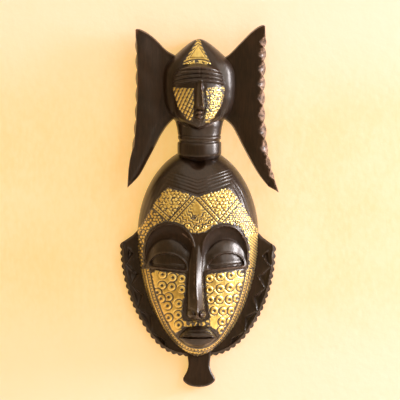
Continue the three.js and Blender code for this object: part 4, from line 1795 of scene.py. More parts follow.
@dataclass(frozen=True)
class ForeheadSheet(Sheet):
    """The sheet over the forehead, in panels parted by dotted bands."""

    low: float = -164.0
    high: float = -49.0
    limb: float = 0.985
    left_bands: Outline = ((-63.5, -74.6), (-37.5, -98.5), (-6.5, -65.0))
    right_bands: Outline = ((-1.6, -65.0), (30.0, -99.5), (55.6, -69.0))
    right_rings: Rows = ((53.2, -99.0, 2.6), (58.6, -104.8, 2.8), (61.5, -110.4, 2.6))
    middle_rings: Rows = (
        (-15.0, -104.6, 3.9), (-2.4, -107.5, 3.4), (9.0, -106.0, 3.4), (17.0, -99.5, 3.0),
        (4.4, -97.0, 2.4), (-22.0, -100.5, 2.6),
    )
    centre_ring: Triple = (-4.7, -93.6, 3.4)

    def outline(self) -> Array:
        """Outline in the front view.

        Returns:
            Points of the outline.
        """
        z = np.linspace(-109.0, STRIP_TOP + 0.4, 14)
        limb = np.stack([self.form.sizes(z)[0] * self.limb, z], axis=1)
        top = np.array(
            [(0.0, -64.0), (41.4, -51.5), (47.0, -56.0), (56.6, -69.0), (66.0, -84.0), (74.5, -98.0)]
        )
        lobe = [(7.5, -114.2), (1.5, -115.4), (-5.5, -115.4), (-10.5, -113.8)]
        right = np.vstack([top, limb, brow_line(RIGHT_EYE, 1, 4.0), lobe])
        left = np.vstack([mirrored(limb), mirrored(top)[:-1]])
        return np.vstack([right, brow_line(LEFT_EYE, -1, 3.4)[::-1], left])

    def strike(self, relief: Relief) -> None:
        """Strike the panels and bands.

        Args:
            relief: The relief to strike.
        """
        x, z = relief.x, relief.z
        both = (self.left_bands, self.right_bands)
        left, right = (np.interp(x, *np.transpose(bands)) for bands in both)
        above_left = (x < -3.5) & (z > left) & (x > self.left_bands[0][0])
        above_right = (x >= -3.5) & (z > right) & (x < self.right_bands[2][0])
        below = ~above_left & ~above_right
        middle = below & (x > self.left_bands[1][0]) & (x < self.right_bands[1][0])
        outer_left = below & (x <= self.left_bands[1][0])
        outer_right = below & (x >= self.right_bands[1][0])
        relief.crescents(above_left * 1.0, Scatter(5.0, 0.2, 31), 2.1, 4.0, 1.0)
        relief.crescents(above_right * 1.0, Scatter(5.6, 0.22, 32), 2.3, 5.0, 0.8)
        self.ripples(relief, middle * 1.0)
        grime = ramp(0.15, 0.7, noise(x, z, 1.6, 39))
        relief.sink(grime * (above_left * 0.8 + outer_left * 0.8 + above_right * 0.5), 0.15, 0.7)
        relief.knobs(outer_left * 1.0, Scatter(4.6, 0.2, 34), 0.6)
        low = ramp(-112.0, -122.0, z)
        relief.hatch(outer_right * low, x * 0.8 + z, 4.0, 0.5)
        relief.knobs(outer_right * (1.0 - low), Scatter(3.3, 0.2, 35), 0.5)
        for ring in self.right_rings:
            relief.ring(*ring, 3.8, 1.0)
        for bands in both:
            for start, end in zip(bands[:-1], bands[1:]):
                relief.dotted_band(Line.through(start, end), 2.9, 4.4)

    def ripples(self, relief: Relief, where: Array) -> None:
        """Strike rows of scales along the bands, and a few rings, into the middle panel.

        Args:
            relief: The relief to strike.
            where: Share of the marks that shows, by place.
        """
        x, z = relief.x, relief.z
        left = Line.through(*self.left_bands[1:]).near(x, z)
        right = Line.through(*self.right_bands[:2]).near(x, z)
        nearer = np.abs(left[0]) < np.abs(right[0])
        distance = np.where(nearer, np.abs(left[0]), np.abs(right[0]))
        along = np.where(nearer, left[1], right[1])
        plain = ramp(11.0, 5.0, np.hypot((x + 1.4) * 1.2, z + 80.0))
        wiggle = 1.0 * np.sin(2.0 * np.pi * distance / 7.5 + 2.0 * noise(x, z, 9.0, 37))
        wave = 0.5 - 0.5 * np.cos(2.0 * np.pi * (along + wiggle) / 4.2)
        broken = ramp(-0.75, -0.2, noise(x, z, 3.0, 38))
        shown = where * (1.0 - plain) * ramp(3.6, 4.6, distance) * broken
        relief.sink(wave**1.3 * shown, 0.8, 0.9)
        for ring in self.middle_rings:
            relief.ring(*ring, 2.4, 0.9)
        relief.ring(*self.centre_ring, 2.4, 2.0)


RIGHT_OF_NOSE = (
    (8.0, -235.0), (15.6, -231.0), (14.8, -225.0), (13.2, -214.0), (10.8, -204.0), (9.8, -190.0),
    (9.6, -171.5),
)
LEFT_OF_NOSE = (
    (10.0, -235.4), (20.4, -232.6), (21.4, -224.0), (20.4, -212.0), (18.6, -203.0), (16.4, -194.0),
    (16.2, -171.5),
)


@dataclass(frozen=True)
class CheekSheet(Sheet):
    """The sheet over one cheek, struck all over with large rings."""

    side: int = 1
    low: float = -259.0
    high: float = -156.0
    rings: Outline = ()
    radius: float = 6.0
    beside_nose: Outline = RIGHT_OF_NOSE
    lean: float = 3.6

    def outline(self) -> Array:
        """Outline in the front view.

        Returns:
            Points of the outline.
        """
        strip = STRIP_LINE[(STRIP_LINE[:, 1] < -168.0) & (STRIP_LINE[:, 1] > -258.0)] - (0.6, 0.0)
        under = [(30.8, -256.4), (27.0, -251.0), (18.5, -243.6), (1.0, -243.0), (1.0, -235.4)]
        top = [(20.0, -169.8), (30.0, -168.8), (45.0, -167.0), (58.0, -165.0)]
        return np.vstack([strip, under, self.beside_nose, top]) * (self.side, 1.0)

    def strike(self, relief: Relief) -> None:
        """Strike the rings, and black all but scraps of the part under the nose.

        Args:
            relief: The relief to strike.
        """
        grain = Scatter(3.6, 0.3, self.seed + 40)
        relief.crescents(np.full(relief.x.shape, 0.3), grain, 1.2, 1.0, 0.3)
        for x, z in self.rings:
            relief.ring(x, z, self.radius, self.lean + 0.35 * math.sin(7.0 * x + 3.0 * z))
        under = ramp(18.5, 15.0, np.abs(relief.x)) * ramp(-231.0, -233.5, relief.z)
        scraps = noise(relief.x, relief.z, 2.4, self.seed + 41) * 1.2
        relief.cover(under * ramp(0.1, -0.2, scraps))


LEFT_RINGS = (
    (-48.3, -171.2), (-34.5, -175.4), (-22.1, -176.8), (-49.0, -186.4), (-35.9, -187.8),
    (-22.1, -192.0), (-55.2, -196.1), (-40.0, -202.3), (-50.3, -204.4), (-26.2, -211.3),
    (-41.4, -214.1), (-26.8, -226.5), (-40.0, -230.6), (-26.2, -240.3),
)

RIGHT_RINGS = (
    (15.2, -176.8), (30.4, -174.0), (44.9, -172.6), (59.4, -168.5), (15.2, -192.0),
    (30.4, -190.6), (43.5, -189.2), (58.0, -189.2), (16.6, -205.8), (29.0, -205.8),
    (42.8, -205.8), (53.2, -204.4), (22.1, -221.0), (34.5, -221.7), (45.6, -221.7),
    (33.1, -236.2), (44.2, -236.2), (31.8, -248.6),
)


@dataclass(frozen=True)
class BorderSheet(Sheet):
    """The strip along one side of the jaw."""

    side: int = 1
    low: float = -284.0
    high: float = -162.0
    limb: float = 0.985
    bead_rows: Triple = (7.4, 11.2, 15.0)
    bead_pitch: float = 3.5

    def outline(self) -> Array:
        """Outline in the front view.

        Returns:
            Points of the outline.
        """
        z = np.linspace(-283.6, STRIP_TOP - 0.4, 40)
        outer = np.stack([self.form.sizes(z)[0] * self.limb, z], axis=1)
        end = [(-4.0, -272.4), (-4.0, -286.0), (0.5, -284.2)]
        return np.vstack([STRIP_LINE, end, outer]) * (self.side, 1.0)

    def strike(self, relief: Relief) -> None:
        """Strike a dotted band along the inside and leaf strokes or beads outside it.

        Args:
            relief: The relief to strike.
        """
        aside = relief.x * self.side
        distance, along = Line(STRIP_LINE).near(aside, relief.z)
        distance = np.abs(distance)
        if self.side > 0:
            outside = ramp(5.6, 6.6, distance)
            spread = np.abs((distance - 10.5) * 1.1)
            wander = 1.6 * noise(relief.x, relief.z, 6.0, self.seed + 6)
            relief.hatch(outside, along + spread + wander, 4.9, 0.7)
            relief.sink(bump(distance - 10.5, 1.0), 0.5)
            self.dotted(relief, distance, along, 3.4, 2.4)
        else:
            beat = (along / self.bead_pitch + 0.5) % 1.0 - 0.5
            for offset in self.bead_rows:
                relief.lift(bump(np.hypot(distance - offset, beat * self.bead_pitch), 1.8), 0.55)
                relief.sink(bump(distance - offset - 2.0, 1.0), 0.6)
                between = (0.5 - np.abs(beat)) * self.bead_pitch
                relief.sink(bump(np.hypot(distance - offset, between), 1.1), 0.3)
            self.dotted(relief, distance, along, 3.0, 2.2)

    @staticmethod
    def dotted(relief: Relief, distance: Array, along: Array, middle: float, half: float) -> None:
        """Strike a row of dots between two lines.

        Args:
            relief: The sheet's relief.
            distance: Distance from the strip's inner edge.
            along: Way along the strip.
            middle: Distance of the dots from the inner edge.
            half: Distance of each line from the dots.
        """
        beat = (along / 4.0 + 0.5) % 1.0 - 0.5
        relief.sink(bump(distance - middle - half, 1.6), 0.8)
        relief.sink(bump(distance - middle + half, 1.5), 0.8)
        relief.sink(bump(np.hypot(distance - middle, beat * 3.0), 2.0), 0.7)


@dataclass(frozen=True)
class CrestSheet(Sheet):
    """The small triangle on the hood."""

    low: float = 117.0
    high: float = 152.5
    spacing: float = 0.45
    ragged: float = 0.6
    corners: Outline = (
        (2.2, 152.4), (-1.6, 152.4), (-8.4, 140.5), (-22.3, 117.4), (18.9, 117.4), (7.6, 141.0),
    )
    triangle: Outline = ((0.4, 143.0), (-10.6, 127.0), (9.6, 127.0))

    def outline(self) -> Array:
        """Outline in the front view."""
        return np.asarray(self.corners)

    def strike(self, relief: Relief) -> None:
        """Strike a triangle inside the outline and a line across the foot.

        Args:
            relief: The relief to strike.
        """
        x, z = relief.x, relief.z
        inside = depth_inside(x, z, np.array(self.triangle))
        relief.lift(ramp(-0.5, 1.5, inside), 0.35)
        relief.sink(bump(inside + 0.6, 0.8), 0.5)
        beat = np.where(x > 0.4, x * 0.66 + z, z - x * 0.66) % 3.9
        outside = ramp(-1.4, -2.2, inside) * ramp(124.5, 126.0, z)
        relief.sink(bump(beat - 1.9, 1.5) * outside, 0.7)
        relief.sink(bump(z - 124.4 + 0.012 * x * x, 1.6), 0.8)
        relief.crescents(ramp(123.5, 122.5, z), Scatter(5.2, 0.3, 51), 1.7, 4.0)
        relief.ring(-2.0, 121.4, 2.3, 2.0, 1.4)


class CheekWork(Enum):
    """How a small cheek is struck."""

    STRIPES = "stripes"
    SPECKS = "specks"


@dataclass(frozen=True)
class SmallCheekSheet(Sheet):
    """The sheet over one cheek of the small face."""

    side: int = 1
    work: CheekWork = CheekWork.SPECKS
    low: float = 35.0
    high: float = 90.5
    spacing: float = 0.45
    dots: Outline = ((13.1, 64.9), (9.4, 41.4), (17.3, 40.7), (27.6, 60.8), (28.0, 77.0))
    dash: Pair = (4.7, 5.6)

    def outline(self) -> Array:
        """Outline in the front view.

        Returns:
            Points of the outline.
        """
        if self.side < 0:
            return np.array([
                (-34.6, 86.4), (-5.4, 85.0), (-5.4, 56.0), (-6.8, 39.6), (-14.6, 41.4),
                (-25.7, 55.8), (-32.0, 71.7),
            ])
        return np.array([
            (15.5, 37.2), (7.2, 38.6), (9.0, 47.9), (12.2, 62.1), (9.4, 81.2), (13.9, 86.4),
            (37.6, 88.0), (36.6, 74.8), (31.4, 59.0), (22.2, 45.2),
        ])

    def strike(self, relief: Relief) -> None:
        """Strike slanting rows of dashes, or close specks.

        Args:
            relief: The relief to strike.
        """
        x, z = relief.x, relief.z
        if self.work is CheekWork.STRIPES:
            width, length = self.dash
            across = (x * 0.9 - z * 0.43) / width
            along = (x * 0.43 + z * 0.9) / length
            row = np.floor(across)
            beat = (along + 0.5 * (row % 2)) % 1.0 - 0.5
            place = (across - row - 0.5) * width
            relief.sink(bump(np.hypot(place * 1.1, beat * 3.2), 2.6), 0.9)
            relief.sink(bump(place, 1.7) * 0.72, 0.6, 0.95)
            crossed = ramp(-4.0, 8.0, x + 19.0 + 0.5 * (68.0 - z))
            relief.sink(bump((along % 1.0 - 0.5) * length, 1.5) * crossed * 0.8, 0.6)
        else:
            relief.crescents(np.ones(x.shape), Scatter(3.6, 0.3, 61), 1.3, 4.5, 0.65, 0.15)
            upper = ramp(14.0, -12.0, x - 22.0 + 0.6 * (62.0 - z))
            relief.sink(ramp(-0.1, 0.5, noise(x, z, 2.0, 62)) * (0.35 + 0.65 * upper), 0.2, 0.9)
            for dot_x, dot_z in self.dots:
                relief.sink(bump(np.hypot(x - dot_x, z - dot_z), 2.6), 0.6)


# Shader nodes


class Tree:
    """Writes nodes into one shader tree."""

    def __init__(self, tree: NodeTree) -> None:
        """Keep the tree and start at its left side."""
        self.tree = tree
        self.column = 0

    def add(self, kind: str, **settings: object) -> bpy.types.Node:
        """Add a node and set its properties.

        Args:
            kind: Type of the node.
            settings: Properties by name.

        Returns:
            The node.
        """
        node = self.tree.nodes.new(kind)
        node.location = (self.column * 180.0, 0.0)
        self.column += 1
        for key, value in settings.items():
            setattr(node, key, value)
        return node

    def join(self, source: object, target: Socket) -> None:
        """Link a socket, or set a plain value.

        Args:
            source: Socket or value.
            target: The input.
        """
        if isinstance(source, Socket):
            self.tree.links.new(source, target)
        else:
            target.default_value = source

    def value(self, kind: str, given: dict, output: int | str = 0, **settings: object) -> Socket:
        """Add a node, give its inputs and take one of its outputs.

        Args:
            kind: Type of the node.
            given: Value or socket for each input, by name or number.
            output: The output's name or number.
            settings: Properties of the node, by name.

        Returns:
            The output's socket.
        """
        node = self.add(kind, **settings)
        for key, value in given.items():
            self.join(value, node.inputs[key])
        return node.outputs[output]

    def math(
        self, operation: str, a: object, b: object = 0.0, c: object = 0.0, clamp: bool = False
    ) -> Socket:
        """Add a Math node.

        Args:
            operation: What it does.
            a, b, c: Values or sockets.
            clamp: Keep the result between 0 and 1.

        Returns:
            The result's socket.
        """
        return self.value("ShaderNodeMath", {0: a, 1: b, 2: c}, operation=operation, use_clamp=clamp)

    def blend(self, share: object, low: object, high: object) -> Socket:
        """Mix two colours."""
        return self.value("ShaderNodeMix", {0: share, 6: low, 7: high}, 2, data_type="RGBA")

    def between(self, value: object, low: object, high: object) -> Socket:
        """Rise smoothly from 0 at low to 1 at high."""
        given = {0: value, 1: low, 2: high}
        return self.value("ShaderNodeMapRange", given, interpolation_type="SMOOTHSTEP", clamp=True)

    def noise(self, place: object, scale: object, detail: float, rough: float = 0.5) -> Socket:
        """Add a noise texture and give its value."""
        given = {"Vector": place, "Scale": scale, "Detail": detail, "Roughness": rough}
        return self.value("ShaderNodeTexNoise", given)

    def stretched(self, place: object, factors: Triple) -> Socket:
        """Scale a place by axis."""
        return self.value("ShaderNodeVectorMath", {0: place, 1: factors}, operation="MULTIPLY")


class Surface(Tree):
    """Writes nodes into a new material around its own shader."""

    def __init__(self, name: str) -> None:
        """Make the material and find its shader.

        Args:
            name: Its name.
        """
        self.material = bpy.data.materials.new(name)
        self.material.use_nodes = True
        super().__init__(self.material.node_tree)
        self.shader = self.tree.nodes["Principled BSDF"]
        self.place = self.add("ShaderNodeTexCoord").outputs["Object"]

    def stored(self, name: str) -> Socket:
        """Read a value that is stored for each vertex."""
        return self.add("ShaderNodeAttribute", attribute_name=name).outputs["Fac"]

    def feed(self, **values: object) -> None:
        """Give the shader its values, by input name with underscores for spaces."""
        for key, value in values.items():
            self.join(value, self.shader.inputs[key.replace("_", " ")])

    def raised(self, height: Socket, strength: float, distance: float) -> None:
        """Let a height turn the shader's normal."""
        given = {"Strength": strength, "Distance": distance, "Height": height}
        self.feed(Normal=self.value("ShaderNodeBump", given, "Normal"))


class Effect:
    """A shader node group that several materials share."""

    def __init__(self, name: str, inputs: dict[str, str], outputs: tuple[str, ...]) -> None:
        """Open a new group.

        Args:
            name: Name of the group.
            inputs: Socket types by name.
            outputs: Names of the values that it puts out.
        """
        self.group = bpy.data.node_groups.new(name, "ShaderNodeTree")
        for direction, sockets in (("INPUT", inputs), ("OUTPUT", dict.fromkeys(outputs, FLOAT))):
            for key, kind in sockets.items():
                self.group.interface.new_socket(name=key, in_out=direction, socket_type=kind)
        self.tree = Tree(self.group)
        self.given = self.tree.add("NodeGroupInput").outputs
        self.wanted = self.tree.add("NodeGroupOutput").inputs

    @staticmethod
    def place(tree: Tree, group: NodeTree, **values: object) -> bpy.types.NodeOutputs:
        """Put a group into a material and give it its values.

        Args:
            tree: The material's tree.
            group: The group.
            values: Value or socket for each input, with spaces as underscores.

        Returns:
            The group's outputs.
        """
        node = tree.add("ShaderNodeGroup", node_tree=group)
        for key, value in values.items():
            tree.join(value, node.inputs[key.replace("_", " ")])
        return node.outputs


FLOAT, VECTOR = "NodeSocketFloat", "NodeSocketVector"


def rubbed_and_highlight_edges() -> NodeTree:
    """Group for edges where handling has rubbed the finish away, and for painted highlight lines.

    Returns:
        The group.
    """
    inputs = {"Place": VECTOR, "Edge": FLOAT, "From": FLOAT, "To": FLOAT, "Patch Scale": FLOAT}
    effect = Effect("Rubbed Edges", inputs, ("Mask",))
    tree, given = effect.tree, effect.given
    edge = tree.between(given["Edge"], given["From"], given["To"])
    patch = tree.noise(given["Place"], given["Patch Scale"], 4.0, 0.6)
    kept = tree.between(patch, 0.38, 0.62)
    tree.join(tree.math("MULTIPLY", edge, kept, clamp=True), effect.wanted["Mask"])
    return effect.group


def brush_marks() -> NodeTree:
    """Group for long fine marks of brush and grain, up the wall.

    Returns:
        The group.
    """
    effect = Effect("Brush Marks", {"Place": VECTOR, "Scale": FLOAT}, ("Value", "Height"))
    tree, given = effect.tree, effect.given
    grain = tree.noise(tree.stretched(given["Place"], (1.0, 1.0, 0.12)), given["Scale"], 5.0, 0.65)
    cloud = tree.noise(given["Place"], 28.0, 3.0, 0.5)
    value = tree.math("ADD", tree.math("MULTIPLY", grain, 0.6), tree.math("MULTIPLY", cloud, 0.4))
    tree.join(value, effect.wanted["Value"])
    tree.join(grain, effect.wanted["Height"])
    return effect.group


def dust_specks() -> NodeTree:
    """Group for pale dust that lies in hollows and in scattered specks.

    Returns:
        The group.
    """
    inputs = {"Place": VECTOR, "Hollow": FLOAT, "Speck Scale": FLOAT}
    effect = Effect("Dust Specks", inputs, ("Mask",))
    tree, given = effect.tree, effect.given
    speck = tree.noise(given["Place"], given["Speck Scale"], 2.0, 0.5)
    spots = tree.between(speck, 0.7, 0.78)
    cloud = tree.noise(given["Place"], 60.0, 4.0, 0.6)
    low = tree.math("MULTIPLY", tree.between(given["Hollow"], 0.05, 0.35), cloud)
    tree.join(tree.math("MAXIMUM", spots, low, clamp=True), effect.wanted["Mask"])
    return effect.group


@dataclass(frozen=True)
class WoodFinish:
    """Satin brown-black paint over carved wood, rubbed brown on the edges."""

    name: str = "painted_wood"
    dark: Colour = (0.010, 0.0052, 0.003, 1.0)
    warm: Colour = (0.030, 0.0145, 0.007, 1.0)
    rubbed: Colour = (0.12, 0.045, 0.026, 1.0)
    # Pale pinkish brown of worn paint, also used as painted highlight and painted reflection along the
    # stored lines.
    bare_and_highlight: Colour = (0.31, 0.215, 0.175, 1.0)
    dust: Colour = (0.12, 0.1, 0.085, 1.0)
    roughness: float = 0.42
    specular: float = 0.2
    coat: float = 0.7
    coat_roughness: float = 0.26
    brush_scale: float = 420.0
    speck_scale: float = 1500.0
    grain_scale: float = 900.0
    edge_reach: Pair = (0.1, 0.34)
    rubbed_share: float = 0.75
    dust_share: float = 0.16
    brush_change: float = 0.22
    dull_change: float = 0.2
    uneven: Pair = (0.22, 0.0005)

    def material(self, groups: dict[str, NodeTree]) -> Material:
        """Make the material from the shared groups.

        Args:
            groups: The shared node groups.

        Returns:
            The material.
        """
        tree = Surface(self.name)
        place, painted_shade_dull = tree.place, tree.stored("painted_shade_dull")
        marks = Effect.place(tree, groups["brush"], Place=place, Scale=self.brush_scale)
        rubbed, bare_and_highlight = (
            Effect.place(
                tree, groups["edges"], Place=place, Edge=tree.stored(key), From=low, To=high,
                Patch_Scale=scale,
            )["Mask"]
            for key, low, high, scale in (("edge", *self.edge_reach, 130.0), ("wear_and_highlight", 0.0, 1.0, 210.0))
        )
        hollow = tree.stored("hollow")
        dust = Effect.place(
            tree, groups["dust"], Place=place, Hollow=hollow, Speck_Scale=self.speck_scale
        )["Mask"]
        tone = tree.blend(tree.between(marks["Value"], 0.32, 0.7), self.dark, self.warm)
        tone = tree.blend(tree.math("MULTIPLY", rubbed, self.rubbed_share), tone, self.rubbed)
        # Paler brown along the stored lines: worn paint, painted highlight and painted reflection.
        tone = tree.blend(bare_and_highlight, tone, self.bare_and_highlight)
        tone = tree.blend(tree.math("MULTIPLY", dust, self.dust_share), tone, self.dust)
        rough = tree.math("MULTIPLY_ADD", marks["Value"], self.brush_change, self.roughness - 0.1)
        for value in (painted_shade_dull, dust):
            rough = tree.math("MULTIPLY_ADD", value, self.dull_change, rough)
        # Less coat on the pale lines, which keeps glints off the painted highlight.
        kept = tree.math("MULTIPLY_ADD", bare_and_highlight, -0.75, 1.0)
        # Painted shade: the coat is cut where the stored shade share is high.
        kept = tree.math("MULTIPLY", kept, tree.math("MULTIPLY_ADD", painted_shade_dull, -0.8, 1.0))
        tree.feed(
            Base_Color=tone,
            Roughness=rough,
            Specular_IOR_Level=self.specular,
            Coat_Weight=tree.math("MULTIPLY", kept, self.coat),
            Coat_Roughness=self.coat_roughness,
        )
        fine = tree.noise(place, self.grain_scale, 3.0, 0.6)
        tree.raised(tree.math("MULTIPLY_ADD", fine, 0.5, marks["Height"]), *self.uneven)
        return tree.material


@dataclass(frozen=True)
class BrassFinish:
    """Thin brass, bright where it is raised and blackened where it is struck in."""

    name: str = "embossed_brass"
    bright: Colour = (0.9, 0.74, 0.23, 1.0)
    deep: Colour = (0.68, 0.47, 0.075, 1.0)
    black: Colour = (0.02, 0.012, 0.008, 1.0)
    roughness: float = 0.36
    coat: float = 1.0
    coat_roughness: float = 0.42
    coat_ior: float = 1.7
    brush_scale: float = 300.0
    speck_scale: float = 1100.0
    worn_scale: float = 700.0
    pit_scale: float = 800.0
    worn_share: float = 0.5
    dust_share: float = 0.5
    brush_change: float = 0.2
    cover_change: float = 0.12
    uneven: Pair = (0.3, 0.0004)

    def material(self, groups: dict[str, NodeTree]) -> Material:
        """Make the material from the shared groups.

        Args:
            groups: The shared node groups.

        Returns:
            The material.
        """
        tree = Surface(self.name)
        place = tree.place
        marks = Effect.place(tree, groups["brush"], Place=place, Scale=self.brush_scale)
        worn = tree.math("SUBTRACT", tree.noise(place, self.worn_scale, 4.0, 0.6), 0.5)
        cover = tree.math("MULTIPLY_ADD", worn, self.worn_share, tree.stored("paint"))
        cover = tree.between(cover, 0.4, 0.62)
        dust = Effect.place(
            tree, groups["dust"], Place=place, Hollow=0.0, Speck_Scale=self.speck_scale
        )["Mask"]
        cover = tree.math("MAXIMUM", cover, tree.math("MULTIPLY", dust, self.dust_share))
        metal = tree.blend(tree.between(marks["Value"], 0.35, 0.65), self.deep, self.bright)
        rough = tree.math("MULTIPLY_ADD", marks["Value"], self.brush_change, self.roughness - 0.1)
        tree.feed(
            Base_Color=tree.blend(cover, metal, self.black),
            Metallic=tree.math("SUBTRACT", 1.0, cover, clamp=True),
            Roughness=tree.math("MULTIPLY_ADD", cover, self.cover_change, rough),
            Coat_Weight=self.coat,
            Coat_Roughness=self.coat_roughness,
            Coat_IOR=self.coat_ior,
        )
        tree.raised(tree.noise(place, self.pit_scale, 3.0, 0.55), *self.uneven)
        return tree.material


# The whole mask


@dataclass(frozen=True)
class WearAndHighlightLine:
    """A paler brown line: worn paint, and where noted painted highlight and painted reflection."""

    points: Outline
    half_width: float
    amount: float
    outwards: float = -1.0


WEAR_AND_HIGHLIGHT_LINES = (
    # Painted reflection: the small face's jaw lines stand for the wall's light reflected along the rim.
    WearAndHighlightLine(((-30.5, 41.6), (-22.6, 34.5), (-11.5, 30.5)), 1.6, 0.6),
    WearAndHighlightLine(((9.1, 31.3), (20.2, 36.0), (32.9, 44.8)), 1.6, 0.6),
    WearAndHighlightLine(((2.0, 54.0), (2.0, 42.0)), 4.6, 0.5),
    # Painted highlight: the right wing's chips, on faces turned to the right, painted pale where the light
    # falls.
    WearAndHighlightLine(((90.4, 156.0), (90.0, 71.0), (90.4, 41.0), (94.0, 3.0), (100.6, -24.0), (108.5, -53.0)),
         11.0, 1.0, 0.3),
    WearAndHighlightLine(((-20.8, -115.4), (-11.6, -122.8), (-5.1, -132.0)), 1.8, 0.6),
    WearAndHighlightLine(((55.0, -108.0), (64.2, -124.6), (67.9, -144.9)), 1.8, 0.5),
    WearAndHighlightLine(((-5.0, -158.0), (-5.4, -204.0)), 1.8, 0.45),
    WearAndHighlightLine(((-1.6, -140.0), (-1.9, -216.0)), 1.2, 0.4),
    WearAndHighlightLine(((10.6, -164.4), (40.0, -162.4), (65.1, -159.7)), 2.4, 0.35),
    WearAndHighlightLine(((-19.0, -265.5), (0.0, -270.5), (19.0, -265.5)), 2.8, 0.35),
)


# Line down each side of the hood where the coat is cut, a painted shade that damps the highlight there.
HOOD_SIDE = ((48.0, 50.0), (50.0, 84.0), (48.0, 114.0))


@dataclass(frozen=True)
class CarvedWood:
    """The one block of wood, with everything carved in it."""

    face: LargeFace = field(default_factory=LargeFace)
    flange: Flange = field(default_factory=Flange)
    stem: Stem = field(default_factory=Stem)
    neck: Neck = field(default_factory=Neck)
    hood: Hood = field(default_factory=Hood)
    small_face: SmallFace = field(default_factory=SmallFace)
    wings: tuple[Wing, ...] = (RIGHT_WING, LEFT_WING)
    back: Back = field(default_factory=Back)
    triangles: int = 196000
    shading_angle: float = 48.0
    broad_marks: Pair = (0.11, 7.0)
    fine_marks: Pair = (0.06, 3.1)

    def build(self) -> Piece:
        """Make the block as one closed mesh.

        Returns:
            The closed solid.
        """
        parts = [self.flange, self.stem, self.neck, self.hood, self.small_face, *self.wings]
        others = [(Join.ADD, part.build()) for part in parts]
        cuts = [self.back.wall_block(), self.back.hollow(), self.back.nail_hole()]
        block = combined(self.face.build(), others + [(Join.CUT, cut) for cut in cuts])
        block.name = "wood_block"
        thinned(block, self.triangles)
        self.roughen(block)
        add_edge_values(block, 2)
        self.wear_and_highlight(block)
        shade(block, self.shading_angle)
        return block

    def wear_and_highlight(self, block: Piece) -> None:
        """Store lines of worn paint, painted highlight and painted reflection, and the painted shade.

        Args:
            block: The carved block.
        """
        vertices = block.data.vertices
        x, _, z = (read(vertices, "co", 3) / MM).T
        sideways, towards, _ = read(vertices, "normal", 3).T
        front = towards < 0.0
        value = np.zeros(len(x))
        for worn in WEAR_AND_HIGHLIGHT_LINES:
            shown = bump(Line.through(*worn.points).near(x, z)[0], worn.half_width)
            shown *= ramp(worn.outwards - 0.2, worn.outwards, sideways)
            value = np.maximum(value, worn.amount * shown)
        store(block.data, "wear_and_highlight", value * front)
        # Painted shade: the coat is cut in the deep band of each eye socket and down the hood's sides.
        beside = 0.6 * bump(Line.through(*HOOD_SIDE).near(np.abs(x), z)[0], 11.0)
        sockets = np.maximum(RIGHT_EYE.recess(x, z), LEFT_EYE.recess(-x, z))
        store(block.data, "painted_shade_dull", np.maximum(sockets, beside) * front)

    def roughen(self, block: Piece) -> None:
        """Leave the slight unevenness of hand work on the front.

        Args:
            block: The carved block.
        """
        points = read(block.data.vertices, "co", 3) / MM
        x, y, z = points.T
        (broad, broad_pitch), (fine, fine_pitch) = self.broad_marks, self.fine_marks
        uneven = broad * noise(x + 0.5 * y, z, broad_pitch, 71)
        uneven = uneven + fine * noise(x, z - 0.7 * y, fine_pitch, 72)
        points[:, 1] = np.where(y < -1.0, y - uneven, y)
        block.data.vertices.foreach_set("co", (points * MM).ravel())
        block.data.update()


def settle(piece: Piece, material: Material, node: str) -> None:
    """Give a piece its finish, let it ride, and let it stand for its node.

    Args:
        piece: The piece.
        material: Its finish.
        node: Node that it stands for.
    """
    piece.data.materials.clear()
    piece.data.materials.append(material)
    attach(piece, "root")
    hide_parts(node)
    piece.data.calc_loop_triangles()
    log.info("%s: %d triangles", piece.name, len(piece.data.loop_triangles))


@dataclass(frozen=True)
class BrassWork:
    """All the sheets over both faces."""

    face: FaceForm = field(default_factory=FaceForm)
    hood: RowForm = HOOD_FORM
    small_face: RowForm = SMALL_FACE_FORM

    def sheets(self) -> list[Sheet]:
        """The sheets, in the order in which they are made."""
        face, small = self.face, self.small_face
        return [
            ForeheadSheet("forehead_plate", face, seed=101),
            CheekSheet("left_cheek_plate", face, seed=111, side=-1, rings=LEFT_RINGS,
                       beside_nose=LEFT_OF_NOSE, lean=0.6, first_angle=math.pi / 2),
            CheekSheet("right_cheek_plate", face, seed=121, side=1, rings=RIGHT_RINGS,
                       last_angle=math.pi / 2),
            BorderSheet("left_border_strip", face, seed=131, side=-1, first_angle=math.pi / 2 + 0.003),
            BorderSheet("right_border_strip", face, seed=141, side=1, last_angle=math.pi / 2 - 0.003),
            CrestSheet("crest_plate", self.hood, seed=151, first_angle=0.9, last_angle=2.3),
            SmallCheekSheet("small_left_cheek_plate", small, seed=161, side=-1,
                            work=CheekWork.STRIPES, first_angle=1.3),
            SmallCheekSheet("small_right_cheek_plate", small, seed=171, side=1,
                            work=CheekWork.SPECKS, last_angle=1.8),
        ]

    def build(self, material: Material) -> None:
        """Make every sheet and dress it."""
        for sheet in self.sheets():
            settle(sheet.build(), material, sheet.node)


# Room, light and camera


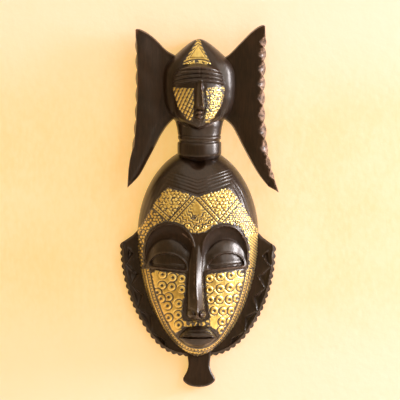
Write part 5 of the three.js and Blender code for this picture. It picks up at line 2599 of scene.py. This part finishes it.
@dataclass(frozen=True)
class Plaster:
    """Pale cream plaster for the wall and the floor; the wall has painted light and a painted glow."""

    name: str
    pale: Colour
    deep: Colour
    # Paler colour painted away from the mask's middle level, as painted light.
    outer: Colour
    # Colour that the plaster gives off itself: painted fill light.
    glow: Colour = (0.0, 0.0, 0.0, 1.0)
    see_through_behind: bool = False
    roughness: float = 0.85
    cloud_scale: float = 9.0
    streak_scale: float = 170.0
    pit_scale: float = 60.0
    uneven: Pair = (0.25, 0.002)
    painted_shade_level: float = -0.07
    painted_light_reach: Pair = (0.08, 0.26)

    def material(self) -> Material:
        """Make the material.

        Returns:
            The material.
        """
        tree = Surface(self.name)
        place = tree.place
        cloud = tree.noise(place, self.cloud_scale, 4.0, 0.55)
        streak = tree.noise(tree.stretched(place, (1.0, 1.0, 0.45)), self.streak_scale, 3.0, 0.6)
        tone = tree.math("MULTIPLY_ADD", cloud, 0.6, tree.math("MULTIPLY", streak, 0.4))
        tone = tree.blend(tree.between(tone, 0.35, 0.68), self.pale, self.deep)
        # Painted light and shade: the plaster turns paler away from the mask's middle level and stays
        # deeper near it.
        level = tree.value("ShaderNodeSeparateXYZ", {0: place}, "Z")
        away = tree.math("ABSOLUTE", tree.math("SUBTRACT", level, self.painted_shade_level))
        tone = tree.blend(tree.between(away, *self.painted_light_reach), tone, self.outer)
        tree.feed(Base_Color=tone, Roughness=self.roughness)
        # Painted fill light: the plaster glows, which lightens the mask's shadows on the wall and lights
        # its rims.
        tree.feed(Emission_Color=self.glow, Emission_Strength=1.0)
        tree.raised(tree.noise(place, self.pit_scale, 5.0, 0.6), *self.uneven)
        if self.see_through_behind:
            behind = tree.value("ShaderNodeNewGeometry", {}, "Backfacing")
            clear = tree.value("ShaderNodeBsdfTransparent", {})
            choice = tree.value("ShaderNodeMixShader", {0: behind, 1: tree.shader.outputs[0], 2: clear})
            tree.join(choice, tree.tree.nodes["Material Output"].inputs["Surface"])
        return tree.material


@dataclass(frozen=True)
class Lamp:
    """A soft light, aimed at the mask, given with its width and height."""

    name: str
    place: Triple
    size: Pair
    power: float
    colour: Triple
    aim: Triple = (0.0, 0.0, -0.08)

    def build(self) -> None:
        """Make the light."""
        lamp = bpy.data.lights.new(self.name, "AREA")
        lamp.shape = "RECTANGLE"
        lamp.size, lamp.size_y = self.size
        lamp.energy = self.power
        lamp.color = self.colour
        piece = added(self.name, lamp)
        piece.location = self.place
        way = Vector(self.aim) - Vector(self.place)
        piece.rotation_euler = way.to_track_quat("-Z", "Y").to_euler()


@dataclass(frozen=True)
class Studio:
    """The plain wall and floor, the lights and the camera, in metres."""

    wall_gap: float = 0.0015
    wall_size: float = 6.0
    floor_level: float = -1.1
    camera_distance: float = 12.0
    camera_lift: float = 0.3
    picture_middle: Pair = (0.0028, -0.069)
    picture_plane: float = 0.035
    picture_width: float = 0.5512
    room_colour: Colour = (1.0, 0.65, 0.27, 1.0)
    room_light: Pair = (0.26, 0.72)
    room_levels: Pair = (-0.1, 0.9)
    far: float = 50.0
    lamps: tuple[Lamp, ...] = (
        Lamp("window", (2.2, -0.42, 0.45), (0.55, 1.0), 72.0, (1.0, 0.94, 0.94)),
        Lamp("room", (1.7, -1.5, 0.6), (1.6, 1.2), 18.0, (1.0, 0.93, 0.85)),
        Lamp("ceiling", (0.0, -1.7, 2.3), (3.0, 3.0), 20.0, (1.0, 0.94, 0.9)),
        Lamp("behind", (0.15, 1.5, 0.3), (0.5, 0.5), 9.0, (1.0, 0.96, 0.9)),
    )

    def build(self) -> None:
        """Make the whole studio."""
        self.surfaces()
        for lamp in self.lamps:
            lamp.build()
        world = bpy.data.worlds.new("studio")
        world.use_nodes = True
        tree = Tree(world.node_tree)
        background = world.node_tree.nodes["Background"]
        background.inputs["Color"].default_value = self.room_colour
        way = tree.value("ShaderNodeTexCoord", {}, "Generated")
        level = tree.value("ShaderNodeSeparateXYZ", {0: way}, "Z")
        ends = dict(enumerate((level, *self.room_levels, *self.room_light)))
        strength = tree.value("ShaderNodeMapRange", ends, clamp=True)
        tree.join(strength, background.inputs["Strength"])
        bpy.context.scene.world = world
        bpy.context.scene.view_settings.view_transform = "Standard"
        self.camera()

    def surfaces(self) -> None:
        """Make the wall and the floor."""
        half = self.wall_size / 2.0
        # The wall's warm glow is painted fill light.
        cream = Plaster(
            "wall_plaster", (0.52, 0.45, 0.52, 1.0), (0.48, 0.38, 0.39, 1.0), (0.52, 0.47, 0.62, 1.0),
            (0.72, 0.43, 0.1, 1.0), True
        )
        pale = Plaster(
            "floor_plaster", (0.85, 0.8, 0.7, 1.0), (0.8, 0.74, 0.62, 1.0), (0.85, 0.8, 0.7, 1.0)
        )
        square = [(-half, -half), (half, -half), (half, half), (-half, half)]
        wall = self.plane("wall", [(x, self.wall_gap, z) for x, z in square], cream)
        wall.visible_shadow = False
        floor = self.plane("floor", [(x, y, self.floor_level) for x, y in square], pale)

    @staticmethod
    def plane(name: str, corners: list[Triple], finish: Plaster) -> Piece:
        """Make a flat piece from corners.

        Args:
            name: Its name.
            corners: Its corners.
            finish: Its plaster.

        Returns:
            The piece.
        """
        mesh = bpy.data.meshes.new(name)
        mesh.from_pydata(corners, [], [list(range(len(corners)))])
        mesh.materials.append(finish.material())
        return added(name, mesh)

    def camera(self) -> None:
        """Make the camera, straight in front and a little above."""
        lens = bpy.data.cameras.new("camera")
        lens.sensor_fit = "HORIZONTAL"
        lens.angle = 2.0 * math.atan(self.picture_width / 2.0 / self.camera_distance)
        lens.clip_end = self.far
        piece = added("camera", lens)
        x, z = self.picture_middle
        lift = math.radians(self.camera_lift)
        target = Vector((x, -self.picture_plane, z))
        piece.location = target + self.camera_distance * Vector((0.0, -math.cos(lift), math.sin(lift)))
        piece.rotation_euler = (target - piece.location).to_track_quat("-Z", "Y").to_euler()
        bpy.context.scene.camera = piece


def main() -> None:
    """Build the studio, the wood and the sheets."""
    logging.basicConfig(level=logging.INFO, format="%(message)s")
    Studio().build()
    groups = {"edges": rubbed_and_highlight_edges(), "brush": brush_marks(), "dust": dust_specks()}
    settle(CarvedWood().build(), WoodFinish().material(groups), "carved_wood")
    BrassWork().build(BrassFinish().material(groups))


if __name__ == "__main__":
    main()
